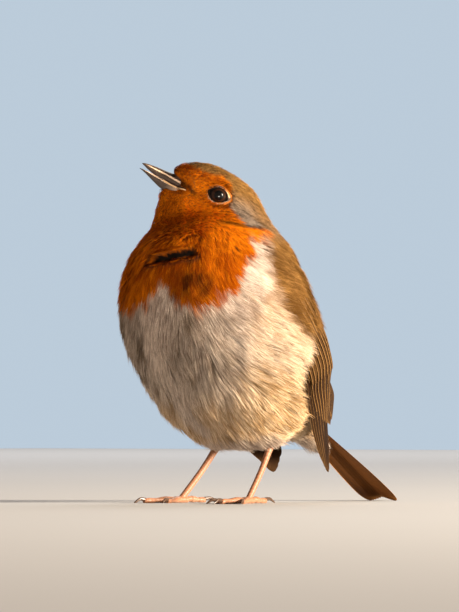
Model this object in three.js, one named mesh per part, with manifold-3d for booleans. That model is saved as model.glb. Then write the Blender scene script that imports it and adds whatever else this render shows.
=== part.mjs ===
// A European robin standing upright on the floor, life size, as a still model.
// Units are millimetres. +Z is up and the breast faces -Y, so +X is the bird's left side.
// The plumage is one rounded form, parted by thin cuts into the parts a birdwatcher names.
// Wings, tail, bill, eyes, shanks, toes and claws are bodies of their own, set into that form.
import * as THREE from "three";
import { mergeVertices } from "three/addons/utils/BufferGeometryUtils.js";
import Module from "manifold-3d";

const wasm = await Module();
wasm.setup();

// ---------------------------------------------------------------- driving dimensions
const gap = 0.3; // clear space between neighbouring parts
const soleDepth = 0.25; // how deep the floor plane trims the toes and the tail tip

const headCentre = [-1.2, 4.4, 100.6];
const headYaw = -38; // degrees, the head looks past the bird's right shoulder
const headPitch = -25; // degrees, the bill points up
const neckTop = 93.5; // level cuts that part head, neck and trunk
const neckBase = 85;
const rumpCut = { at: [0, 35, 36], facing: [0, 0.84, -0.54] };
const trunkCentre = [0, 8, 56];
const rumpCentre = [0, 38, 32];

const eyeRadius = 3.7;
const eyePlace = { ahead: 3.1, above: 0.4 }; // from the middle of the head, in its own axes
const eyeSunk = 2.1; // depth of the ball's centre under the face

const ankle = { side: 11.6, back: 16.2, height: 20.5 };
const instep = { side: 15, back: 0.6, height: 3 };
const footTurn = 8; // degrees the feet turn out
const shankRadius = 0.95;
const toes = [
  { name: "inner", turn: -27, reach: 12, claw: 4, thick: 0.85 },
  { name: "middle", turn: 0, reach: 16, claw: 4.4, thick: 0.95 },
  { name: "outer", turn: 25, reach: 12.5, claw: 4, thick: 0.85 },
  { name: "hind", turn: 180, reach: 9.5, claw: 6.2, thick: 1 },
];

const featherLayer = 0.9; // thickness of each layer of the folded wing
const wingRises = [0.5, 0.72]; // shares along the wing where it leaves the body and hangs free
const tailRoot = { back: 39, height: 31.6 };
const tailLength = 58;
const tailSlope = 33.5; // degrees below level, which lays the tip on the floor
const tailWidth = { root: 8.5, tip: 16.5 };

const colours = {
  orange: 0xc25a1c, olive: 0x7d6a4c, cream: 0xd9cbb2, buff: 0xb99a6c, brown: 0x6b4a2c,
  darkBrown: 0x4a3322, bill: 0x2f2620, leg: 0xb0683f, claw: 0x3a2a20, eye: 0x120b08,
};

// ---------------------------------------------------------------- small helpers
const radians = THREE.MathUtils.degToRad;
const smooth = THREE.MathUtils.smoothstep;
const mix = THREE.MathUtils.lerp;
const vec = (p) => new THREE.Vector3(...p);

// One vertex per corner, and triangles that face outwards.
function closed(geometry) {
  const bare = new THREE.BufferGeometry();
  bare.setAttribute("position", geometry.attributes.position.clone());
  bare.setIndex(geometry.index.clone());
  const whole = mergeVertices(bare, 1e-4);
  const place = whole.attributes.position;
  const index = whole.index.array;
  const corner = (i) => new THREE.Vector3().fromBufferAttribute(place, index[i]);
  let volume = 0;
  for (let i = 0; i < index.length; i += 3) {
    volume += corner(i).dot(corner(i + 1).cross(corner(i + 2)));
  }
  if (volume < 0) index.reverse();
  return whole;
}

function solidOf(geometry) {
  const whole = closed(geometry);
  return new wasm.Manifold(
    new wasm.Mesh({
      numProp: 3,
      vertProperties: new Float32Array(whole.attributes.position.array),
      triVerts: new Uint32Array(whole.index.array),
    }),
  );
}

function geometryOf(solid) {
  const { vertProperties, triVerts } = solid.getMesh();
  const geometry = new THREE.BufferGeometry();
  geometry.setAttribute("position", new THREE.BufferAttribute(vertProperties, 3));
  geometry.setIndex(new THREE.BufferAttribute(triVerts, 1));
  geometry.computeVertexNormals();
  return geometry;
}

// The same shape on the bird's other side.
const mirrored = (geometry) => closed(geometry.clone().scale(-1, 1, 1));

// Everything behind a plane: a large box whose top face lies on it.
function behind(point, facing) {
  const depth = 300;
  const box = new THREE.BoxGeometry(400, 400, depth).translate(0, 0, -depth / 2);
  const up = new THREE.Vector3(0, 0, 1);
  box.applyQuaternion(new THREE.Quaternion().setFromUnitVectors(up, vec(facing).normalize()));
  return solidOf(box.translate(...point));
}
const below = (height) => behind([0, 0, height], [0, 0, 1]);
const above = (height) => behind([0, 0, height], [0, 0, -1]);

// A sphere with one vertex per corner, its poles on the Z axis.
function ball(around, down) {
  const sphere = new THREE.SphereGeometry(1, around, down).rotateX(Math.PI / 2);
  return closed(sphere);
}

// A closed skin over place(u, v, side), with side 0 for its inner face and 1 for its outer face.
function shell(place, columns, rows) {
  const points = [];
  const faces = [];
  for (let side = 0; side < 2; side++) {
    for (let i = 0; i <= columns; i++) {
      for (let j = 0; j <= rows; j++) points.push(...place(i / columns, j / rows, side).toArray());
    }
  }
  const at = (i, j, side) => side * (columns + 1) * (rows + 1) + i * (rows + 1) + j;
  const quad = (a, b, c, d) => faces.push(a, b, c, a, c, d);
  for (let i = 0; i < columns; i++) {
    for (let j = 0; j < rows; j++) {
      quad(at(i, j, 1), at(i + 1, j, 1), at(i + 1, j + 1, 1), at(i, j + 1, 1));
      quad(at(i, j, 0), at(i, j + 1, 0), at(i + 1, j + 1, 0), at(i + 1, j, 0));
    }
    quad(at(i, 0, 0), at(i + 1, 0, 0), at(i + 1, 0, 1), at(i, 0, 1));
    quad(at(i + 1, rows, 0), at(i, rows, 0), at(i, rows, 1), at(i + 1, rows, 1));
  }
  for (let j = 0; j < rows; j++) {
    quad(at(0, j + 1, 0), at(0, j, 0), at(0, j, 1), at(0, j + 1, 1));
    quad(at(columns, j, 0), at(columns, j + 1, 0), at(columns, j + 1, 1), at(columns, j, 1));
  }
  const geometry = new THREE.BufferGeometry();
  geometry.setAttribute("position", new THREE.Float32BufferAttribute(points, 3));
  geometry.setIndex(faces);
  return closed(geometry);
}

// A closed tapered body along a curve. size(t) gives its half width, its rise and its drop.
function limb(points, size, sides = 8, steps = 10) {
  const curve = new THREE.CatmullRomCurve3(points.map(vec));
  const shape = ball(sides, steps);
  const place = shape.attributes.position;
  const up = new THREE.Vector3(0, 0, 1);
  for (let i = 0; i < place.count; i++) {
    const from = new THREE.Vector3().fromBufferAttribute(place, i);
    const t = (1 - from.z) / 2;
    const ring = Math.hypot(from.x, from.y);
    const along = curve.getTangentAt(t);
    const across = new THREE.Vector3().crossVectors(up, along).normalize();
    const rise = new THREE.Vector3().crossVectors(along, across);
    const [width, height, depth = height] = size(t);
    const cap = ring > 1e-3 ? Math.sqrt(1 - Math.pow(2 * t - 1, 10)) / ring : 0;
    const spot = curve.getPointAt(t);
    spot.addScaledVector(across, from.x * width * cap);
    spot.addScaledVector(rise, from.y * (from.y > 0 ? height : depth) * cap);
    place.setXYZ(i, ...spot.toArray());
  }
  return closed(shape);
}
const grown = (size, by) => (t) => size(t).map((s) => s + by);

// ---------------------------------------------------------------- the rounded form of the plumage
// Each mass is an ellipsoid: its centre, its three radii and a turn about X. Masses blend smoothly.
const bodyBlend = 7;
const bodyMasses = [
  { at: [0, 10.5, 48.3], size: [31, 29.2, 30.5], tip: 8 }, // belly
  { at: [0, 0, 64.8], size: [31.3, 31.5, 34.4], tip: 0 }, // breast
  { at: [0, 22.7, 49.2], size: [20.9, 16.6, 30.2], tip: 25 }, // back
  { at: [0, -0.7, 80.5], size: [19.1, 25.4, 12.6], tip: 0 }, // neck and shoulders
  { at: [0, 32.9, 35.5], size: [10.1, 13.9, 9.4], tip: -35 }, // rump and vent
  { at: [0, 45, 24.5], size: [5.6, 14, 3.6], tip: -35 }, // undertail coverts
];
const headBlend = 3.5;
const headMasses = [
  { at: [0, -0.9, -2.4], size: [11.8, 17.1, 12.5], tip: 0 }, // skull
  { at: [0, -8.3, 2.4], size: [7.7, 11, 6.8], tip: 8 }, // forehead
  { at: [0, -11.6, -2.5], size: [5.2, 5.8, 4.6], tip: 8 }, // lores
  { at: [0, -8, -9.1], size: [10, 10.5, 8.5], tip: 10 }, // throat
  { at: [0, -15.6, -5.9], size: [3, 4.4, 2.2], tip: -10 }, // chin
];

const headTurn = new THREE.Matrix4()
  .makeRotationZ(radians(headYaw))
  .multiply(new THREE.Matrix4().makeRotationX(radians(headPitch)))
  .setPosition(...headCentre);
const headTurnBack = headTurn.clone().invert();
const onHead = (p) => vec(p).applyMatrix4(headTurn).toArray();

function massDistance(point, { at, size, tip }) {
  const p = point.clone().sub(vec(at)).applyAxisAngle(new THREE.Vector3(1, 0, 0), -radians(tip));
  const [a, b, c] = size;
  const near = Math.hypot(p.x / a, p.y / b, p.z / c);
  const far = Math.hypot(p.x / (a * a), p.y / (b * b), p.z / (c * c));
  return far > 0 ? (near * (near - 1)) / far : -Math.min(a, b, c);
}

function blended(a, b, width) {
  const h = Math.max(width - Math.abs(a - b), 0) / width;
  return Math.min(a, b) - (h * h * width) / 4;
}

// How far a point lies outside the plumage (negative when it is inside).
function plumage(point) {
  const inHead = point.clone().applyMatrix4(headTurnBack);
  const head = headMasses.map((m) => massDistance(inHead, m));
  const body = bodyMasses.map((m) => massDistance(point, m));
  return blended(
    body.reduce((a, b) => blended(a, b, bodyBlend)),
    head.reduce((a, b) => blended(a, b, headBlend)),
    bodyBlend,
  );
}

function outwards(point) {
  const step = 0.2;
  const slope = [0, 1, 2].map((axis) => {
    const shift = new THREE.Vector3().setComponent(axis, step);
    return plumage(point.clone().add(shift)) - plumage(point.clone().sub(shift));
  });
  return vec(slope).normalize();
}

// Where the ray from a point inside the plumage leaves it.
function surfaceAlong(from, ray) {
  let inside = 0;
  let outside = 110;
  for (let step = 0; step < 26; step++) {
    const middle = (inside + outside) / 2;
    if (plumage(from.clone().addScaledVector(ray, middle)) < 0) inside = middle;
    else outside = middle;
  }
  return from.clone().addScaledVector(ray, inside);
}

function formAround(centre, around, down) {
  const shape = ball(around, down);
  const place = shape.attributes.position;
  for (let i = 0; i < place.count; i++) {
    const ray = new THREE.Vector3().fromBufferAttribute(place, i).normalize();
    place.setXYZ(i, ...surfaceAlong(vec(centre), ray).toArray());
  }
  return solidOf(shape);
}

// ---------------------------------------------------------------- the left wing, folded
// The leading edge runs down the flank and the other edge down the back, both from shoulder to tip.
const curveOf = (points) => new THREE.CatmullRomCurve3(points.map(vec));
const leadingEdge = curveOf([
  [24, -1, 80], [30, 2, 69], [31, 9, 58], [29.5, 15.5, 46], [24.5, 22, 35], [19.5, 28.5, 23],
  [13, 40, 11],
]);
const dorsalEdge = curveOf([
  [8, 16.5, 88], [9.5, 27, 73], [10.5, 34, 61], [11, 41, 49], [11, 46.5, 38], [11, 46.3, 26],
  [11, 44, 10.5],
]);

// A point of the wing: share u across it, share v along it, lifted off the plumage.
// The far part leaves the body and hangs free.
function onWing(u, v, lift) {
  const free = leadingEdge.getPoint(v).lerp(dorsalEdge.getPoint(v), u);
  const seated = free.clone();
  for (let turn = 0; turn < 5; turn++) seated.addScaledVector(outwards(seated), -plumage(seated));
  const out = outwards(seated);
  const sag = 1.2 * Math.sin(Math.PI * u);
  free.addScaledVector(outwards(free), sag);
  return seated.lerp(free, smooth(v, ...wingRises)).addScaledVector(out, lift);
}

// The layers of feathers, outermost first. Each runs from share start(u) to share end(u) along the
// wing and between the shares `from` and `to` across it.
const layers = {
  coverts: {
    from: 0, to: 1, lift: 1.8, columns: 10, rows: 6,
    start: (u) => 0.01 + 0.1 * (2 * u - 1) ** 2,
    end: (u) => 0.46 + 0.05 * tooth(u, 5),
  },
  tertials: {
    from: 0.42, to: 1, lift: 0.35, columns: 6, rows: 6,
    start: () => 0.4,
    end: (u) => 0.66 + 0.16 * u + 0.04 * tooth(u, 3),
  },
  primaries: {
    from: 0, to: 0.9, lift: -1.1, columns: 8, rows: 8,
    start: () => 0.38,
    end: (u) => 1 - 0.13 * u * u - 0.03 * tooth(u, 4),
  },
};

// Feather tips along an edge: a saw that rises to 1 at each tip.
function tooth(u, count) {
  return 1 - Math.abs(((u * count) % 1) * 2 - 1);
}

function wingLayer(name, margin = 0, reach = 0) {
  const { from, to, lift, columns, rows, start, end } = layers[name];
  const inLength = margin / 85;
  const inWidth = margin / 30;
  const place = (u, v, side) => {
    const across = mix(from - inWidth, to + inWidth, u);
    const along = mix(start(u) - inLength, end(u) + inLength, v);
    const outer = reach || lift;
    return onWing(across, along, side ? outer : lift - featherLayer - margin);
  };
  return shell(place, columns, rows);
}

// ---------------------------------------------------------------- the tail
const tailAlong = new THREE.Vector3(0, Math.cos(radians(tailSlope)), -Math.sin(radians(tailSlope)));
const tailUp = new THREE.Vector3(0, Math.sin(radians(tailSlope)), Math.cos(radians(tailSlope)));

function onTail(u, v, side, margin = 0) {
  const across = 2 * u - 1;
  const notch = 1 - 2.6 * Math.pow(1 - Math.abs(across), 2) / tailLength - 0.03 * across ** 4;
  const length = tailLength * (v * notch + (v < 0.5 ? -1 : 1) * (margin / tailLength));
  const width = mix(tailWidth.root, tailWidth.tip, smooth(v, 0, 0.9)) + 2 * margin;
  const thick = mix(1.7, 1, v) + 2 * margin;
  const crown = 1.3 * (1 - across * across) * (1 - 0.6 * v);
  const barb = 0.16 * tooth(u, 6) * smooth(v, 0.2, 0.4);
  return new THREE.Vector3(0, tailRoot.back, tailRoot.height)
    .addScaledVector(tailAlong, length)
    .addScaledVector(tailUp, crown + (side ? thick / 2 + barb : -thick / 2))
    .add(new THREE.Vector3((across * width) / 2, 0, 0));
}

// ---------------------------------------------------------------- the bill, in the head's own axes
const taper = (t, power) => Math.pow(1 - t, power);
const upperPath = [[0, -14, 0.6], [0, -20, 0.55], [0, -25, 0.45], [0, -29, 0.25]].map(onHead);
const upperSize = (t) => [2.8 * taper(t, 0.7), 2.3 * taper(t, 0.75), 1.9 * taper(t, 0.6)];
const lowerPath = [[0, -12.5, -2.9], [0, -19, -2.1], [0, -25, -1.75], [0, -29.3, -1.35]].map(onHead);
const lowerSize = (t) => [2.5 * taper(t, 0.7), 0.6 * taper(t, 0.6), 2.6 * taper(t, 0.9)];

// ---------------------------------------------------------------- legs and feet, left side
const footAxis = radians(footTurn);
function onFoot(forward, turn, height) {
  const angle = footAxis + radians(turn);
  return [
    instep.side + forward * Math.sin(angle),
    instep.back - forward * Math.cos(angle),
    height,
  ];
}
const thighPath = [
  [11.2, 12.5, 30],
  [11.5, 15, 25],
  [ankle.side, ankle.back, ankle.height - 0.4],
];
const thighSize = (t) => [mix(5.2, 1.5, Math.sqrt(t)), mix(5.6, 1.6, Math.sqrt(t))];
const shankPath = [
  [ankle.side + 0.06, ankle.back - 0.3, ankle.height - 0.75],
  [mix(ankle.side, instep.side, 0.5), mix(ankle.back, instep.back, 0.5) + 0.5, 11],
  [instep.side, instep.back, instep.height - 1.3],
];
const shankSize = (t) => {
  const wide = shankRadius * (1 + 0.35 * Math.pow(2 * t - 1, 4));
  return [wide, wide * 1.12];
};
const padPath = [onFoot(-2.2, 0, 0.9), onFoot(0.6, 0, 1), onFoot(3.4, 0, 0.9)];
const padSize = (t) => [mix(1.2, 1.9, t), 1.1];
const toePath = ({ turn, reach, thick }) => [
  onFoot(0.5, turn, thick + 0.1),
  onFoot(reach * 0.35, turn, thick + 0.25),
  onFoot(reach * 0.7, turn, thick - 0.05),
  onFoot(reach, turn, thick - soleDepth),
];
const toeSize = ({ thick }) => (t) => {
  const knuckle = 1 + 0.1 * Math.cos(6 * Math.PI * t);
  return [thick * mix(1.1, 0.85, t) * knuckle, thick * knuckle];
};
const clawPath = ({ turn, reach, claw, thick }) => [
  onFoot(reach + gap, turn, thick + 0.1),
  onFoot(reach + gap + claw * 0.45, turn, thick + 0.45),
  onFoot(reach + gap + claw, turn, 0.2),
];
const clawSize = (t) => [0.55 * taper(t, 0.6) + 0.1, 0.7 * taper(t, 0.6) + 0.12];

// ---------------------------------------------------------------- the robin, part by part
const robin = new THREE.Group();
function add(name, geometry, colour, roughness = 0.85) {
  const material = new THREE.MeshStandardMaterial({ color: colour, roughness, metalness: 0 });
  const mesh = new THREE.Mesh(geometry, material);
  mesh.name = name;
  robin.add(mesh);
}
const floorCut = below(0);
const onFloor = (geometry) => geometryOf(solidOf(geometry).subtract(floorCut));
function addPair(name, geometry, colour, roughness) {
  add(`${name}_left`, geometry, colour, roughness);
  add(`${name}_right`, mirrored(geometry), colour, roughness);
}

// Room for everything that is set into the plumage.
const sideCutters = [
  ...Object.keys(layers).map((name) => wingLayer(name, gap, 14)),
  limb(thighPath, grown(thighSize, gap), 8, 6),
];
const tailCutter = shell((u, v, side) => onTail(u, v, side, gap), 6, 8);
const cutters = [...sideCutters, ...sideCutters.map(mirrored), tailCutter].map(solidOf);
const carve = (solid) => cutters.reduce((body, cutter) => body.subtract(cutter), solid);

const { at: rumpAt, facing: rumpFacing } = rumpCut;
const aft = rumpFacing.map((f) => -f);
const shifted = (distance) => rumpAt.map((p, i) => p + rumpFacing[i] * distance);
const form = formAround(trunkCentre, 33, 23);
const trunk = form.subtract(above(neckBase - gap / 2)).subtract(behind(shifted(-gap / 2), aft));
add("trunk", geometryOf(carve(trunk)), colours.cream);
const rump = formAround(rumpCentre, 22, 16).subtract(behind(shifted(gap / 2), rumpFacing));
add("rump", geometryOf(carve(rump)), colours.buff);
const neck = form.subtract(above(neckTop - gap / 2)).subtract(below(neckBase + gap / 2));
add("neck", geometryOf(carve(neck)), colours.orange);

// Each eyeball sits where the side of the face is, sunk by the same depth.
function eyeCentre(side) {
  const from = vec(onHead([0, -eyePlace.ahead, eyePlace.above]));
  const ray = vec(onHead([side, -eyePlace.ahead, eyePlace.above])).sub(from).normalize();
  return surfaceAlong(from, ray).addScaledVector(ray, -eyeSunk).toArray();
}
const eyeball = (side, radius) => {
  return ball(16, 10).scale(radius, radius, radius).translate(...eyeCentre(side));
};
let head = formAround(headCentre, 28, 19).subtract(below(neckTop + gap / 2));
const faceCutters = [
  eyeball(1, eyeRadius + gap),
  eyeball(-1, eyeRadius + gap),
  limb(upperPath, grown(upperSize, gap)),
  limb(lowerPath, grown(lowerSize, gap)),
];
for (const cutter of faceCutters) head = head.subtract(solidOf(cutter));
add("head", geometryOf(head), colours.orange);
add("eye_left", eyeball(1, eyeRadius), colours.eye, 0.1);
add("eye_right", eyeball(-1, eyeRadius), colours.eye, 0.1);
add("bill_upper", limb(upperPath, upperSize), colours.bill, 0.45);
add("bill_lower", limb(lowerPath, lowerSize), colours.bill, 0.45);

addPair("wing_coverts", wingLayer("coverts"), colours.olive);
addPair("wing_tertials", wingLayer("tertials"), colours.brown);
addPair("wing_primaries", wingLayer("primaries"), colours.darkBrown);
add("tail", onFloor(shell((u, v, side) => onTail(u, v, side), 12, 6)), colours.brown);

addPair("thigh", limb(thighPath, thighSize, 8, 6), colours.buff);
let leg = solidOf(limb(shankPath, shankSize, 8, 8)).add(solidOf(limb(padPath, padSize, 8, 5)));
for (const toe of toes) {
  leg = leg.add(solidOf(limb(toePath(toe), toeSize(toe), 6, 7)));
  addPair(`claw_${toe.name}`, onFloor(limb(clawPath(toe), clawSize, 6, 5)), colours.claw, 0.4);
}
addPair("leg", geometryOf(leg.subtract(floorCut)), colours.leg, 0.6);

// The middle of the footprint is the origin.
const box = new THREE.Box3().setFromObject(robin);
for (const part of robin.children) {
  part.geometry.translate(-(box.min.x + box.max.x) / 2, -(box.min.y + box.max.y) / 2, 0);
}

export default robin;
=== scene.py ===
# %% [markdown]
# # A European robin in feathers
# This notebook dresses a plain solid model of a robin. The solid model is loaded as a fixed frame, and
# each step makes one thing that the eye sees: skin, plumage, wing and tail feathers, eyes, bill, legs.
# Blender works in metres here. The drawing of the bird is easier to read in millimetres, so all sizes
# below are millimetres in the bird's own axes, and one function turns them into the frame's metres.

# %% Load the frame
import math
import bpy
import mathutils
import numpy as np
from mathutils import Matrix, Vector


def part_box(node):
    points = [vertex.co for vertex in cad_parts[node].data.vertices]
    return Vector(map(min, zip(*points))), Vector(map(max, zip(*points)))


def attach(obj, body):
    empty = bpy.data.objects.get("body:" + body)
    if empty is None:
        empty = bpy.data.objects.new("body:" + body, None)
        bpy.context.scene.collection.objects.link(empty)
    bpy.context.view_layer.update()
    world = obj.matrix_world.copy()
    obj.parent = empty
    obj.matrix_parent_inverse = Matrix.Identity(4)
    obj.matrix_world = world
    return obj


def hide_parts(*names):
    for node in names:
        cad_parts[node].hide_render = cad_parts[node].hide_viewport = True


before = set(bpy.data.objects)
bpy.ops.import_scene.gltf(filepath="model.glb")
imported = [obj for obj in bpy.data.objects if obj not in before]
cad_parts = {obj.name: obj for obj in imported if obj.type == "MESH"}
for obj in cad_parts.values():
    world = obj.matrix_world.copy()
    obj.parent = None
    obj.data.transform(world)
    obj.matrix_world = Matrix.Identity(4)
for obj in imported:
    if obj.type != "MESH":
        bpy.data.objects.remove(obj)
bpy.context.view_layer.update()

# %% [markdown]
# ## The rounded form of the plumage
# A fluffed robin is close to a few eggs melted together: belly, breast, back, shoulders, rump and, on
# top, a small head that is turned and tipped. Each egg is an ellipsoid, and a smooth minimum melts
# them. The result is one function, the distance from any point to the tips of the plumage. Everything
# that grows on the bird asks this function where the surface is.

# %% The form
HEAD_CENTRE = np.array([-1.2, 4.4, 100.6])
HEAD_YAW, HEAD_PITCH = math.radians(-38), math.radians(-25)
BODY_BLEND, HEAD_BLEND = 7.0, 3.5
BODY_MASSES = [
    ((0, 10.5, 48.3), (31, 29.2, 30.5), 8),  # belly
    ((0, 0, 64.8), (31.3, 31.5, 34.4), 0),  # breast
    ((0, 22.7, 49.2), (20.9, 16.6, 30.2), 25),  # back
    ((0, -0.7, 80.5), (19.1, 25.4, 12.6), 0),  # neck and shoulders
    ((0, 32.9, 35.5), (10.1, 13.9, 9.4), -35),  # rump and vent
    ((0, 45, 24.5), (5.6, 14, 3.6), -35),  # undertail coverts
    ((11.3, 14.6, 25), (4.4, 4.8, 5.6), 0),  # left thigh
    ((-11.3, 14.6, 25), (4.4, 4.8, 5.6), 0),  # right thigh
]
HEAD_MASSES = [
    ((0, -0.9, -2.4), (11.8, 17.1, 12.5), 0),  # skull
    ((0, -8.3, 2.4), (7.7, 11, 6.8), 8),  # forehead
    ((0, -11.6, -2.5), (5.2, 5.8, 4.6), 8),  # lores
    ((0, -8, -9.1), (10, 10.5, 8.5), 10),  # throat
    ((0, -15.6, -5.9), (3, 4.4, 2.2), -10),  # chin
]


# %% Turns of the body and the head
def turn_x(angle):
    """A turn about X."""
    c, s = math.cos(angle), math.sin(angle)
    return np.array([[1, 0, 0], [0, c, -s], [0, s, c]])


def turn_z(angle):
    """A turn about Z."""
    c, s = math.cos(angle), math.sin(angle)
    return np.array([[c, -s, 0], [s, c, 0], [0, 0, 1]])


HEAD_TURN = turn_z(HEAD_YAW) @ turn_x(HEAD_PITCH)


def in_head(points):
    """Body axes to the head's own axes."""
    return (points - HEAD_CENTRE) @ HEAD_TURN


def on_head(points):
    """The head's own axes to body axes."""
    return np.asarray(points, float) @ HEAD_TURN.T + HEAD_CENTRE


# %% Distance to the plumage
def egg(points, at, size, tip):
    """Distance to an ellipsoid that is tipped about X by `tip` degrees."""
    local = (points - np.array(at)) @ turn_x(math.radians(tip))
    size = np.array(size, float)
    near = np.linalg.norm(local / size, axis=-1)
    far = np.linalg.norm(local / size**2, axis=-1) + 1e-9
    return near * (near - 1) / far


def melt(a, b, width):
    """The lesser of two distances, rounded over `width` mm where they meet."""
    h = np.maximum(width - np.abs(a - b), 0) / width
    return np.minimum(a, b) - h * h * width / 4


def plumage(points):
    """How far each point is outside the plumage, in mm."""
    body = egg(points, *BODY_MASSES[0])
    for mass in BODY_MASSES[1:]:
        body = melt(body, egg(points, *mass), BODY_BLEND)
    local = in_head(points)
    head = egg(local, *HEAD_MASSES[0])
    for mass in HEAD_MASSES[1:]:
        head = melt(head, egg(local, *mass), HEAD_BLEND)
    return melt(body, head, BODY_BLEND)


# %% Out of the plumage, and back onto it
def unit(vectors):
    """Vectors of length 1."""
    return vectors / (np.linalg.norm(vectors, axis=-1, keepdims=True) + 1e-12)


def outwards(points, step=0.15):
    """The direction straight out of the plumage."""
    slope = [plumage(points + step * axis) - plumage(points - step * axis) for axis in np.eye(3)]
    return unit(np.stack(slope, -1))


def settle(points, height, turns=3):
    """Moves points straight in or out until they are `height` mm above the plumage."""
    for _ in range(turns):
        points = points + outwards(points) * (height - plumage(points))[:, None]
    return points


# %% [markdown]
# ## From the drawing's axes to the frame
# The solid model was moved so that its footprint is centred on the origin. The eyeball's centre is
# known in the drawing, and the frame says where it went, so the difference is the move.

# %% Drawing to frame
EYE_RADIUS = 3.7
EYE_BACK, EYE_UP, EYE_SUNK = -3.1, 0.4, 2.1


def leave_along(start, ray, reach=40.0):
    """Where a ray from inside leaves the plumage."""
    inside, outside = 0.0, reach
    for _ in range(30):
        middle = (inside + outside) / 2
        if plumage((start + ray * middle)[None])[0] < 0:
            inside = middle
        else:
            outside = middle
    return start + ray * inside


def eye_centre(side):
    """The centre of an eyeball, where `side` is 1 for the left and -1 for the right."""
    ray = HEAD_TURN @ np.array([side, 0.0, 0.0])
    return leave_along(on_head([0, EYE_BACK, EYE_UP]), ray) - ray * EYE_SUNK


eye_low, eye_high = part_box("eye_left")
shift = np.array((eye_low + eye_high) / 2) * 1000 - eye_centre(1)
shift[2] = 0.0
print("the drawing moved by, mm:", shift.round(3))


def to_frame(points):
    """The drawing's millimetres to the frame's metres."""
    return (np.asarray(points, float) + shift) / 1000


# %% [markdown]
# ## Small tools for meshes
# A mesh is made from arrays of points and faces in one call. `tube` lofts rings along a path, with a
# half width and a half height for each ring, and closes both ends. It makes shanks, toes and claws.


# %% Mesh tools
def placed(name, data):
    """A new object in the scene."""
    thing = bpy.data.objects.new(name, data)
    bpy.context.scene.collection.objects.link(thing)
    return thing


def new_piece(name, points, faces, material, slot, replaces=()):
    """A mesh piece that stands in the frame and rides on the bird's one body."""
    mesh = bpy.data.meshes.new(name)
    faces = [np.asarray(group, np.int32) for group in (faces if isinstance(faces, list) else [faces])]
    sizes = np.concatenate([np.full(len(group), group.shape[1], np.int32) for group in faces])
    corners = np.concatenate([group.ravel() for group in faces])
    mesh.vertices.add(len(points))
    mesh.vertices.foreach_set("co", to_frame(points).astype(np.float32).ravel())
    mesh.loops.add(len(corners))
    mesh.loops.foreach_set("vertex_index", corners)
    mesh.polygons.add(len(sizes))
    mesh.polygons.foreach_set("loop_start", (np.cumsum(sizes) - sizes).astype(np.int32))
    mesh.polygons.foreach_set("loop_total", sizes)
    mesh.update(calc_edges=True)
    mesh.shade_smooth()
    mesh.materials.append(material)
    piece = placed(name, mesh)
    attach(piece, "root")
    if replaces:
        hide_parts(*replaces)
    print(f"{name}: {len(points)} points, {len(sizes)} faces")
    return piece


def keep(piece, name, *columns):
    """Stores up to three numbers for each point, which a material reads by name. The rest are 0."""
    values = np.column_stack(columns)
    values = np.pad(values, ((0, 0), (0, 3 - values.shape[1])))
    layer = piece.data.attributes.new(name, "FLOAT_VECTOR", "POINT")
    layer.data.foreach_set("vector", values.astype(np.float32).ravel())


def keep_map(piece, name, places):
    """Stores a UV place for each point."""
    layer = piece.data.uv_layers.new(name=name)
    corner = np.empty(len(piece.data.loops), np.int32)
    piece.data.loops.foreach_get("vertex_index", corner)
    layer.uv.foreach_set("vector", np.asarray(places, np.float32)[corner].ravel())


# %% Soft steps
def smoothstep(x, low, high):
    """A soft step from 0 at `low` to 1 at `high`."""
    t = np.clip((x - low) / (high - low), 0, 1)
    return t * t * (3 - 2 * t)


def fade(x, low, high):
    """A soft step from 1 at `low` down to 0 at `high`."""
    return 1 - smoothstep(x, low, high)


# %% Grids and fans of faces
def grid_faces(rows, columns, start=0, wrap=False):
    """Quads of a grid of points stored row by row, closed round each row if `wrap`."""
    i = np.arange(rows - 1)[:, None]
    j = np.arange(columns if wrap else columns - 1)[None]
    a = i * columns + j
    b = i * columns + (j + 1) % columns
    return start + np.stack([a, b, b + columns, a + columns], -1).reshape(-1, 4)


def fan(apex, start, around, order=1):
    """Triangles from one point to a ring of points. An order of -1 turns them to face the other way."""
    j = np.arange(around)
    ring = np.stack([start + j, start + (j + 1) % around], -1)[:, ::order]
    return np.column_stack([np.full(around, apex), ring])


# %% Curves and tubes
def through(points, t):
    """Points of a smooth curve through the given ones, for shares t from 0 to 1."""
    points = np.asarray(points, float)
    ends = np.vstack([2 * points[0] - points[1], points, 2 * points[-1] - points[-2]])
    place = np.clip(np.asarray(t, float), 0, 1) * (len(points) - 1)
    i = np.minimum(place.astype(int), len(points) - 2)
    w = (place - i)[:, None]
    a, b, c, d = (ends[i + k] for k in range(4))
    ta, tb, tc = (np.sqrt(np.linalg.norm(q - p, axis=1))[:, None] for p, q in ((a, b), (b, c), (c, d)))
    out = ((b - a) / ta - (c - a) / (ta + tb) + (c - b) / tb) * tb
    come = ((c - b) / tb - (d - b) / (tb + tc) + (d - c) / tc) * tb
    return b + out * w + (3 * (c - b) - 2 * out - come) * w**2 + (2 * (b - c) + out + come) * w**3


def tube_points(path, half_width, half_height, around):
    """Rings of points square to a path."""
    along = unit(np.gradient(path, axis=0))
    side = unit(np.cross([0, 0, 1], along))
    rise = np.cross(along, side)
    angle = np.linspace(0, 2 * math.pi, around, endpoint=False)
    wide = np.cos(angle) * half_width[:, None]
    tall = np.sin(angle) * half_height[:, None]
    return path[:, None] + side[:, None] * wide[..., None] + rise[:, None] * tall[..., None]


def tube(path, half_width, half_height, around):
    """Points and faces of a closed tube."""
    rings = tube_points(path, half_width, half_height, around)
    rows = len(rings)
    points = np.vstack([rings.reshape(-1, 3), path[0], path[-1]])
    sides = grid_faces(rows, around, wrap=True)[:, ::-1]
    first, last = rows * around, rows * around + 1
    ends = np.vstack([fan(first, 0, around), fan(last, first - around, around, -1)])
    return points, [sides, ends]


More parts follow.
